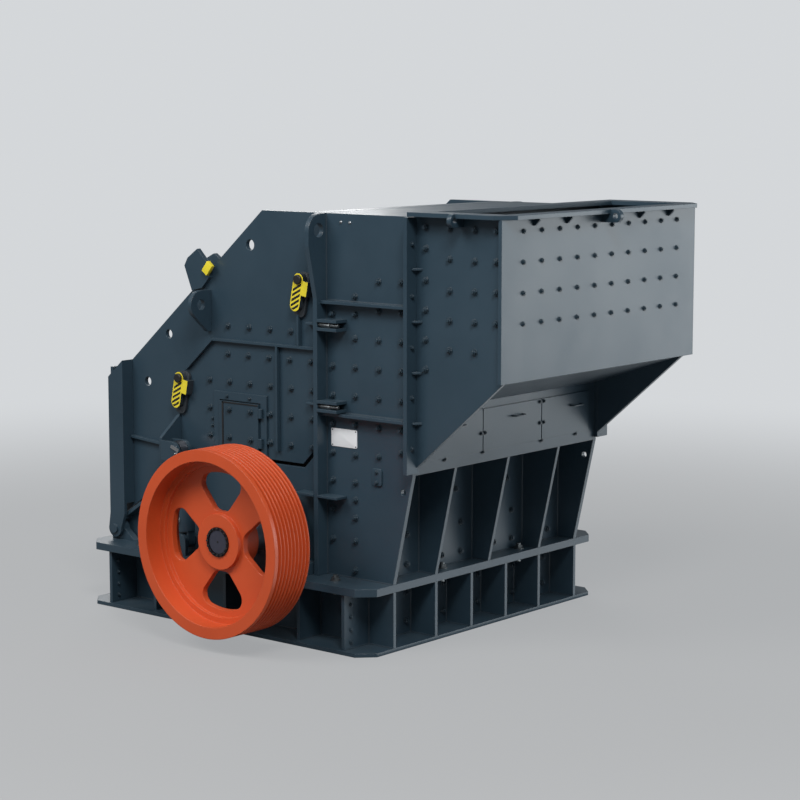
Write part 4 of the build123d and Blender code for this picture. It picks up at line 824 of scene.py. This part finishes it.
HANDLE_PLACES = (0.060, 0.588, -0.450)
HANDLE_HEIGHT = 1.141
HANDLE_HALF = 0.045
HANDLE_SHOULDER = 0.024
HANDLE_REACH = 0.030
HANDLE_BEND = 0.012
HANDLE_RADIUS = 0.0045
BAR_ROUND_STEPS = 3
BEND_ORDER = 3
BEND_STEPS = 4
handle_line = bpy.data.curves.new("pull_handles", "CURVE")
handle_line.dimensions = "3D"
handle_line.bevel_depth = HANDLE_RADIUS
handle_line.bevel_resolution = BAR_ROUND_STEPS
handle_line.use_fill_caps = True
for middle in HANDLE_PLACES:
    left, right = middle - HANDLE_HALF, middle + HANDLE_HALF
    bends = (
        (0.0, left),
        (HANDLE_SHOULDER, left),
        (HANDLE_REACH, left + HANDLE_BEND),
        (HANDLE_REACH, right - HANDLE_BEND),
        (HANDLE_SHOULDER, right),
        (0.0, right),
    )
    bar = handle_line.splines.new("NURBS")
    bar.points.add(len(bends) - 1)
    for point, (out, y) in zip(bar.points, bends):
        point.co = (front_plate_x + out, y, HANDLE_HEIGHT, 1.0)
    bar.order_u = BEND_ORDER
    bar.use_endpoint_u = True
    bar.resolution_u = BEND_STEPS
handle_mesh = settled_mesh("pull_handles", handle_line)
handle_mesh.materials.clear()
# The handles take the bolt colour, whose darker tone is painted shade.
handle_mesh.materials.append(bolt_shaded_paint)
kept_piece("pull_handles", handle_mesh, "fixed_frame")

# Rear frame cheeks: liner bolts in rows about 150 mm apart, with two small screws beside the door. The far
# cheek has four more bolts where the near one has its door.
CHEEK_ROWS = {
    1.60: (-0.114, 0.040, 0.191, 0.340),
    1.45: (-0.116, 0.033, 0.182, 0.330, 0.479),
    1.30: (-0.253, -0.105, 0.043, 0.191, 0.339, 0.487),
    1.15: (-0.253, 0.191, 0.336, 0.485),
    1.00: (-0.253, 0.191, 0.336, 0.485),
}
FAR_CHEEK_PLACES = (-0.105, 0.043)
FAR_CHEEK_HEIGHTS = (1.15, 1.00)
DOOR_SCREW_PLACES = ((-0.234, 1.091), (-0.234, 1.053))
cheek_places = [(x, height) for height, columns in CHEEK_ROWS.items() for x in columns]
cheek_rows = both_sides(cheek_places, wall_y)
cheek_rows += [((x, wall_y, z), ALONG_Y) for x in FAR_CHEEK_PLACES for z in FAR_CHEEK_HEIGHTS]
bolt_rows("cheek_bolts", cheek_rows, WALL_BOLT, body="rear_frame")
door_side_screws = both_sides(DOOR_SCREW_PLACES, wall_y)
bolt_rows("door_side_screws", door_side_screws, SMALL_BOLT, body="rear_frame")

# Curtain keepers: dark steel blocks with a yellow front that carries black stripes under a black pin. Each
# sits on a longer backing plate welded to the cheek and sprayed dark. Its dark rim round the keeper is
# partly painted shade that stands in for the keeper's shadow.
KEEPER_LOOK = dict(
    paint=(0.74, 0.62, 0.035), worn=(0.45, 0.38, 0.05),
    edge_wear=0.35, dust=0.0, blotch=0.05, roughness=0.40, edge_width=0.002,
)
BLOCK_GREY = (0.028, 0.036, 0.044)
FRONT_FACING = 0.8
keeper_paint = painted_plate("keeper_paint", **KEEPER_LOOK)
keeper_tree = keeper_paint.node_tree
keeper_ageing = next(node for node in keeper_tree.nodes if node.type == "GROUP")
keeper_shape = new_node(keeper_tree, "ShaderNodeNewGeometry")
keeper_way = new_node(keeper_tree, "ShaderNodeSeparateXYZ")
keeper_front = new_node(keeper_tree, "ShaderNodeMath", operation="ABSOLUTE")
keeper_mask = new_node(keeper_tree, "ShaderNodeMath", operation="GREATER_THAN")
keeper_mask.inputs[1].default_value = FRONT_FACING
keeper_mix = new_node(keeper_tree, "ShaderNodeMix", data_type="RGBA", A=(*BLOCK_GREY, 1.0))
join_keeper = wiring(keeper_tree)
join_keeper(keeper_shape, "Normal", keeper_way, "Vector")
join_keeper(keeper_way, "Y", keeper_front, 0)
join_keeper(keeper_front, "Value", keeper_mask, 0)
join_keeper(keeper_mask, "Value", keeper_mix, "Factor")
join_keeper(keeper_ageing, "Colour", keeper_mix, "B")
join_keeper(keeper_mix, "Result", keeper_tree.nodes["Principled BSDF"], "Base Color")
dress(keeper_paint, "curtain_keepers")


def tilted_axes(angle):
    """The two axes of a side face that is turned by an angle."""
    across = Vector((math.cos(angle), 0.0, -math.sin(angle)))
    up = Vector((math.sin(angle), 0.0, math.cos(angle)))
    return across, up


KEEPER_PINS = ((0.436, 1.876), (-0.443, 1.296))
KEEPER_FOOT = 0.134
KEEPER_ROUND = 0.0290
KEEPER_PIN = (32, ((0.025, -0.004), (0.025, 0.012), (0.022, 0.015), (0.010, 0.015)))
STRIPES = 5
STRIPE_START = 0.048
STRIPE_PITCH = 0.0275
STRIPE_SLOPE = 0.78
STRIPE_HALF = 0.0255
STRIPE_HEIGHT = 0.0145
STRIPE_LEAST = 0.0004
STRIPE_THICKNESS = 0.0008
STRIPE_STEPS = 4
BACKING_THICKNESS = 0.018
BACKING_SHIFT = 0.010
BACKING_DROP = 0.080
backing_outline = rounded_outline(width=0.078, height=0.236, radius=0.030, steps=6)
keeper_face_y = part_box("curtain_keepers")[0].y
keeper_across, keeper_up = tilted_axes(math.radians(11.0))
backing_step = keeper_across * BACKING_SHIFT - keeper_up * BACKING_DROP
stripe_black = painted_plate(
    "stripe_black", (0.012, 0.012, 0.013), (0.06, 0.06, 0.06),
    edge_wear=0.2, dust=0.0, blotch=0.1, roughness=0.45, edge_width=0.001,
)
# Partly painted shade: the dark backing colour shows round each keeper in place of its shadow.
backing_shade_grey = painted_plate(
    "backing_shade_grey", BLOCK_GREY, FRAME_WORN,
    edge_wear=0.4, dust=0.05, blotch=0.1, roughness=0.45, edge_width=0.002,
)
stripes = bmesh.new()
keeper_pins = bmesh.new()
backings = bmesh.new()
for pin_x, pin_z in KEEPER_PINS:
    pin_place = Vector((pin_x, keeper_face_y, pin_z))
    for stripe in range(STRIPES):
        level = -STRIPE_START - STRIPE_PITCH * stripe
        upper = []
        lower = []
        for step in range(2 * STRIPE_STEPS + 1):
            along = STRIPE_HALF * (step / STRIPE_STEPS - 1)
            foot = -KEEPER_FOOT - math.sqrt(KEEPER_ROUND ** 2 - along ** 2)
            edge_level = level + STRIPE_SLOPE * along
            upper.append((along, max(edge_level + STRIPE_HEIGHT, foot + STRIPE_LEAST)))
            lower.append((along, max(edge_level, foot)))
        add_plate(stripes, lower + upper[::-1], pin_place, keeper_across, keeper_up, STRIPE_THICKNESS)
    add_turned(keeper_pins, pin_place, NEAR, KEEPER_PIN)
    backing_place = Vector((pin_x, -wall_y, pin_z)) + backing_step
    add_plate(backings, backing_outline, backing_place, keeper_across, keeper_up, BACKING_THICKNESS)
for shape in (stripes, keeper_pins, backings):
    add_far_side(shape)
made_piece(stripes, "keeper_stripes", "rear_frame", stripe_black)
made_piece(keeper_pins, "keeper_pins", "rear_frame", stripe_black, edge=0.001)
made_piece(backings, "keeper_backings", "rear_frame", backing_shade_grey, edge=0.002)

# Curtain adjusters: a yellow cap is slipped over the tab of each bracket at the sloped edge.
CAP_PLACE = (-0.223, -0.8255, 1.9013)
CAP_THICKNESS = 0.0215
cap_outline = rounded_outline(width=0.045, height=0.067, radius=0.003, steps=2)
tab_across, tab_up = tilted_axes(math.radians(38.0))
tab_yellow = painted_plate("tab_yellow", **KEEPER_LOOK)
tab_caps = bmesh.new()
add_plate(tab_caps, cap_outline, CAP_PLACE, tab_across, tab_up, CAP_THICKNESS)
add_far_side(tab_caps)
made_piece(tab_caps, "adjuster_caps", "rear_frame", tab_yellow, edge=0.0012)

# Inspection door: a thin door on two knuckles, held shut by four bolts, with two more in its frame above. A
# thin black strip along the free edge and the top edge is painted shade, for the dark gap round the door.
DOOR_PLATE = 0.012
DOOR_BOLT_PLACES = (-0.088, 0.068)
DOOR_BOLT_HEIGHTS = (1.155, 1.004)
SHADE_STRIP_THICKNESS = 0.003
FRAME_SCREW_PLACES = (-0.114, 0.051)
FRAME_SCREW_HEIGHT = 1.222
free_edge_outline = rounded_outline(width=0.011, height=0.248, radius=0.002, steps=2)
top_edge_outline = rounded_outline(width=0.264, height=0.007, radius=0.002, steps=2)
door_frame_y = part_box("door_frame")[0].y
door_y = door_frame_y - DOOR_PLATE
door_rows = [((x, door_y, z), NEAR) for x in DOOR_BOLT_PLACES for z in DOOR_BOLT_HEIGHTS]
bolt_rows("door_bolts", door_rows, WALL_BOLT, body="inspection_door")
# Painted shade: black strips in place of the shadow in the gap between door and frame.
door_shade_strips = bmesh.new()
add_plate(door_shade_strips, free_edge_outline, (-0.136, door_y, 1.070), ALONG_X, UP, SHADE_STRIP_THICKNESS)
add_plate(door_shade_strips, top_edge_outline, (-0.010, door_y, 1.1905), ALONG_X, UP, SHADE_STRIP_THICKNESS)
made_piece(door_shade_strips, "door_shade_strips", "inspection_door", stripe_black, edge=0.0008)
frame_rows = [((x, door_frame_y, FRAME_SCREW_HEIGHT), NEAR) for x in FRAME_SCREW_PLACES]
bolt_rows("door_frame_screws", frame_rows, SMALL_BOLT, body="rear_frame")

# Opening cylinders: painted barrels with two bright hose unions each, ground rods, and a zinc-plated lock
# bar and grease nipple on the outer end of each upper pin.
LOCK_THICKNESS = 0.006
LOCK_NIPPLE = (
    (6, ((0.008, 0.0), (0.008, 0.010))),
    (12, ((0.004, 0.010), (0.0055, 0.015), (0.003, 0.020))),
)
UNION = (
    (20, ((0.017, 0.0), (0.017, 0.010))),
    (6, ((0.0135, 0.010), (0.0135, 0.024), (0.012, 0.026))),
    (16, ((0.008, 0.026), (0.008, 0.034), (0.006, 0.036))),
)
UNION_Y = 0.950
UNION_SHARES = (0.24, 0.80)
CYLINDER_FOOT_X = -0.340
CYLINDER_FOOT_Z = 0.425
CYLINDER_LEAN = -0.060
CYLINDER_RISE = 0.485
lock_outline = rounded_outline(width=0.062, height=0.018, radius=0.004, steps=3)
lock_across, lock_up = tilted_axes(angle=0.35)
clevis_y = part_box("cylinder_clevises")[0].y
ground_steel = machined_steel("ground_steel", (0.36, 0.37, 0.41), roughness=0.36, grain=90.0)
dress(ground_steel, "rotor_shaft", "cylinder_rod_near", "cylinder_rod_far")
pin_locks = bmesh.new()
add_plate(pin_locks, lock_outline, (-0.366, clevis_y, 0.930), lock_across, lock_up, LOCK_THICKNESS)
add_turned(pin_locks, (-0.353, clevis_y, 0.904), NEAR, *LOCK_NIPPLE)
add_far_side(pin_locks)
made_piece(pin_locks, "pin_locks", "rear_frame", bright_zinc, edge=0.0008)
for label, side in zip(("near", "far"), SIDES):
    unions = bmesh.new()
    for share in UNION_SHARES:
        port_x = CYLINDER_FOOT_X + CYLINDER_LEAN * share
        port_z = CYLINDER_FOOT_Z + CYLINDER_RISE * share
        add_turned(unions, (port_x, side * UNION_Y, port_z), (0.0, side, 0.0), *UNION)
    made_piece(unions, "hose_unions_" + label, "barrel_" + label, bright_zinc, edge=0.0006)

# Bearing housings: plummer blocks with an end cover on eight bolts, foot bolts and a grease nipple
# on top.
AXIS_X = 0.310
AXIS_Z = 0.562
COVER_BOLTS = 8
COVER_BOLT_RADIUS = 0.128
BEARING_Y = 0.900
BEARING_FOOT_STEP = 0.198
BEARING_FOOT_HEIGHT = 0.410
NIPPLE_RISE = 0.163
NIPPLE = (
    (6, ((0.009, 0.0), (0.009, 0.014))),
    (12, ((0.0045, 0.014), (0.006, 0.020), (0.0035, 0.026))),
)
bearing_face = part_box("bearing_housings")[1].y


def axis_circle(count, radius, start):
    """Places on a circle round the rotor's axis."""
    angles = [start + 2 * math.pi * index / count for index in range(count)]
    return [(AXIS_X + radius * math.cos(angle), AXIS_Z + radius * math.sin(angle)) for angle in angles]


cover_rows = both_sides(axis_circle(COVER_BOLTS, COVER_BOLT_RADIUS, math.pi / COVER_BOLTS), bearing_face)
bolt_rows("bearing_cover_bolts", cover_rows, FRONT_BOLT)
bearing_feet = []
for along in (-BEARING_FOOT_STEP, BEARING_FOOT_STEP):
    bearing_feet += [((AXIS_X + along, side * BEARING_Y, BEARING_FOOT_HEIGHT), UP) for side in SIDES]
bolt_rows("bearing_foot_bolts", bearing_feet, LARGE_BOLT)
nipples = bmesh.new()
add_turned(nipples, (AXIS_X, -BEARING_Y, AXIS_Z + NIPPLE_RISE), UP, *NIPPLE)
add_far_side(nipples)
made_piece(nipples, "grease_nipples", "fixed_frame", bright_zinc)

# Drive pulley: a cast iron wheel turned in its grooves and rim, sprayed orange all over.
pulley_paint = painted_plate(
    "pulley_paint", (0.56, 0.078, 0.020), (0.66, 0.17, 0.07),
    edge_wear=0.45, dust=0.02, blotch=0.06, roughness=0.40, edge_width=0.006,
)
dress(pulley_paint, "drive_pulley")

# Locking ring: an oiled steel ring with sixteen cap screws grips the shaft in the hub. The shaft end is
# turned blue-grey steel. A black disc on its centre is painted shade for the dark inside of the centre
# drilling.
RING_SCREWS = 16
RING_SCREW_RADIUS = 0.069
RING_SCREW = bolt(0.0058, 0.006, 0.0062, 0.001, 0.0030, 0.0064)
SHAFT_END = (64, ((0.061, -0.004), (0.061, 0.0012), (0.059, 0.0026)))
DRILLING_SHADE_DISC = (24, ((0.0065, 0.0), (0.0065, 0.0030), (0.004, 0.0032)))
oiled_steel = machined_steel("oiled_steel", (0.045, 0.045, 0.055), roughness=0.42, grain=120.0)
dress(oiled_steel, "pulley_locking_ring")
ring_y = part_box("pulley_locking_ring")[0].y
ring_rows = [((x, ring_y, z), NEAR) for x, z in axis_circle(RING_SCREWS, RING_SCREW_RADIUS, 0.0)]
bolt_rows("ring_screws", ring_rows, RING_SCREW, body="rotor", finish=stripe_black)
shaft_steel = machined_steel("shaft_steel", (0.150, 0.158, 0.215), roughness=0.46, grain=60.0)
shaft_end_place = (AXIS_X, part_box("rotor_shaft")[0].y, AXIS_Z)
shaft_end = bmesh.new()
add_turned(shaft_end, shaft_end_place, NEAR, SHAFT_END)
made_piece(shaft_end, "shaft_end_face", "rotor", shaft_steel)
# Painted shade: a thin black disc stands where the centre hole would lie in shadow.
drilling_shade_disc = bmesh.new()
add_turned(drilling_shade_disc, shaft_end_place, NEAR, DRILLING_SHADE_DISC)
made_piece(drilling_shade_disc, "drilling_shade_disc", "rotor", stripe_black)

# Weld beads: fillet welds where ribs, flanges and webs meet the plates, laid by hand and painted over in a
# darker tone that is painted shade, so that they stay dark in the corners. The runs stop a little short of
# the plate edges.
BEAD_SIZES = {"Bead Radius": 0.0050, "Ripple Pitch": 0.011, "Ripple Depth": 0.22}
BEAD_SIDES = 6
RIPPLE_SEED = 7


def weld_bead_tree():
    """Geometry Nodes tree that lays a rippled bead along every edge."""
    tree, join, given, real = piece_tree("weld_beads", BEAD_SIZES)
    line = new_node(tree, "GeometryNodeMeshToCurve")
    steps = new_node(tree, "GeometryNodeResampleCurve", mode="LENGTH")
    thin = new_node(tree, "ShaderNodeMath", operation="SUBTRACT")
    thin.inputs[0].default_value = 1.0
    ripple = new_node(tree, "FunctionNodeRandomValue", data_type="FLOAT", Seed=RIPPLE_SEED)
    ripple.inputs[3].default_value = 1.0
    swell = new_node(tree, "GeometryNodeSetCurveRadius")
    ring = new_node(tree, "GeometryNodeCurvePrimitiveCircle", Resolution=BEAD_SIDES)
    bead = new_node(tree, "GeometryNodeCurveToMesh", Fill_Caps=True)
    join(given, "Geometry", line, "Mesh")
    join(line, "Curve", steps, "Curve")
    join(given, "Ripple Pitch", steps, "Length")
    join(given, "Ripple Depth", thin, 1)
    join(thin, "Value", ripple, 2)
    join(steps, "Curve", swell, "Curve")
    join(ripple, 1, swell, "Radius")
    join(given, "Bead Radius", ring, "Radius")
    join(swell, "Curve", bead, "Curve")
    join(ring, "Curve", bead, "Profile Curve")
    join(bead, "Mesh", real, "Geometry")
    return tree


weld_tree = weld_bead_tree()
# Painted shade: the bead colour is darker than the frame paint, for the shade in the corners where the beads
# lie.
weld_shaded_paint = painted_plate(
    "weld_shaded_paint", (0.018, 0.034, 0.049), FRAME_BLUE,
    edge_wear=0.0, dust=0.0, blotch=0.0, roughness=0.62, edge_width=0.001,
)


def weld_runs(name, body, runs):
    """Beads along straight runs, given by their two ends."""
    points = [end for run in runs for end in run]
    edges = [(2 * index, 2 * index + 1) for index in range(len(runs))]
    lines = bpy.data.meshes.new(name)
    lines.from_pydata(points, edges, [])
    mesh = settled_mesh(name, lines, weld_tree, {**BEAD_SIZES, "Finish": weld_shaded_paint})
    kept_piece(name, mesh, body)


def rib_faces(middles):
    """Both faces of each rib."""
    return [middle + half for middle in middles for half in (-RIB_HALF, RIB_HALF)]


RIB_HALF = 0.010
END_RIBS = (-0.7875, -0.450, -0.150, 0.150, 0.450, 0.7875)
SIDE_RIBS = (-0.530, 0.0, 0.530)
RIB_WELD_FOOT = 0.022
RIB_WELD_HEAD = 0.308
SOLE_LEVEL = 0.021
BASE_LEVELS = (SOLE_LEVEL, 0.309)
RIB_TIP_X = 1.028
SIDE_RIB_TIP = 0.964
END_WEB_REACH = 0.985
SIDE_WEB_REACH = 0.844
base_welds = []
for end in SIDES:
    web, tip = end * end_web_x, end * RIB_TIP_X
    for face_y in rib_faces(END_RIBS):
        base_welds.append(((web, face_y, RIB_WELD_FOOT), (web, face_y, RIB_WELD_HEAD)))
        base_welds += [((web, face_y, level), (tip, face_y, level)) for level in BASE_LEVELS]
    base_welds += [((web, -END_WEB_REACH, level), (web, END_WEB_REACH, level)) for level in BASE_LEVELS]
for side in SIDES:
    face_y, tip_y = side * wall_y, side * SIDE_RIB_TIP
    for face_x in rib_faces(SIDE_RIBS):
        base_welds.append(((face_x, face_y, RIB_WELD_FOOT), (face_x, face_y, RIB_WELD_HEAD)))
        base_welds.append(((face_x, face_y, SOLE_LEVEL), (face_x, tip_y, SOLE_LEVEL)))
    base_welds.append(((-SIDE_WEB_REACH, face_y, SOLE_LEVEL), (SIDE_WEB_REACH, face_y, SOLE_LEVEL)))
weld_runs("base_welds", "fixed_frame", base_welds)

FLANGE_LEVEL = 0.351
WALL_WELD_HEAD = 2.215
JOINT_WELD_FOOT = 0.355
FEED_WELD_FOOT = 0.945
WALL_FOOT_START_X = 0.560
STIFFENER_LEVELS = (1.187, 1.203, 1.762, 1.778)
STIFFENER_ENDS = (0.590, 1.156)
LOWER_WALL_ENDS = (-0.550, 0.070)
FRONT_RIBS = (-0.450, 0.0, 0.450)
FRONT_RIB_TIP_X = 1.026
FRONT_WELD_FOOT = 0.352
FRONT_WELD_HEAD = 0.922
FRONT_HALF = 0.775
FRONT_WELD_HALF = 0.774
wall_welds = []
for side in SIDES:
    face_y = side * wall_y
    side_runs = [
        ((WALL_FOOT_START_X, FLANGE_LEVEL), (RIB_TIP_X, FLANGE_LEVEL)),
        ((joint_x, JOINT_WELD_FOOT), (joint_x, WALL_WELD_HEAD)),
        ((flange_rear_x, FEED_WELD_FOOT), (flange_rear_x, WALL_WELD_HEAD)),
    ]
    side_runs += [[(x, level) for x in STIFFENER_ENDS] for level in STIFFENER_LEVELS]
    side_runs.append([(x, FLANGE_LEVEL) for x in LOWER_WALL_ENDS])
    wall_welds += [[(x, face_y, z) for x, z in run] for run in side_runs]
for face_y in rib_faces(FRONT_RIBS):
    wall_welds.append(((lower_front_x, face_y, FRONT_WELD_FOOT), (lower_front_x, face_y, FRONT_WELD_HEAD)))
    wall_welds.append(((lower_front_x, face_y, FLANGE_LEVEL), (FRONT_RIB_TIP_X, face_y, FLANGE_LEVEL)))
for face_y in (-FRONT_HALF, FRONT_HALF):
    wall_welds.append(((lower_front_x, face_y, FRONT_WELD_FOOT), (lower_front_x, face_y, FRONT_WELD_HEAD)))
wall_welds.append([(lower_front_x, end * FRONT_WELD_HALF, FLANGE_LEVEL) for end in SIDES])
weld_runs("wall_welds", "fixed_frame", wall_welds)
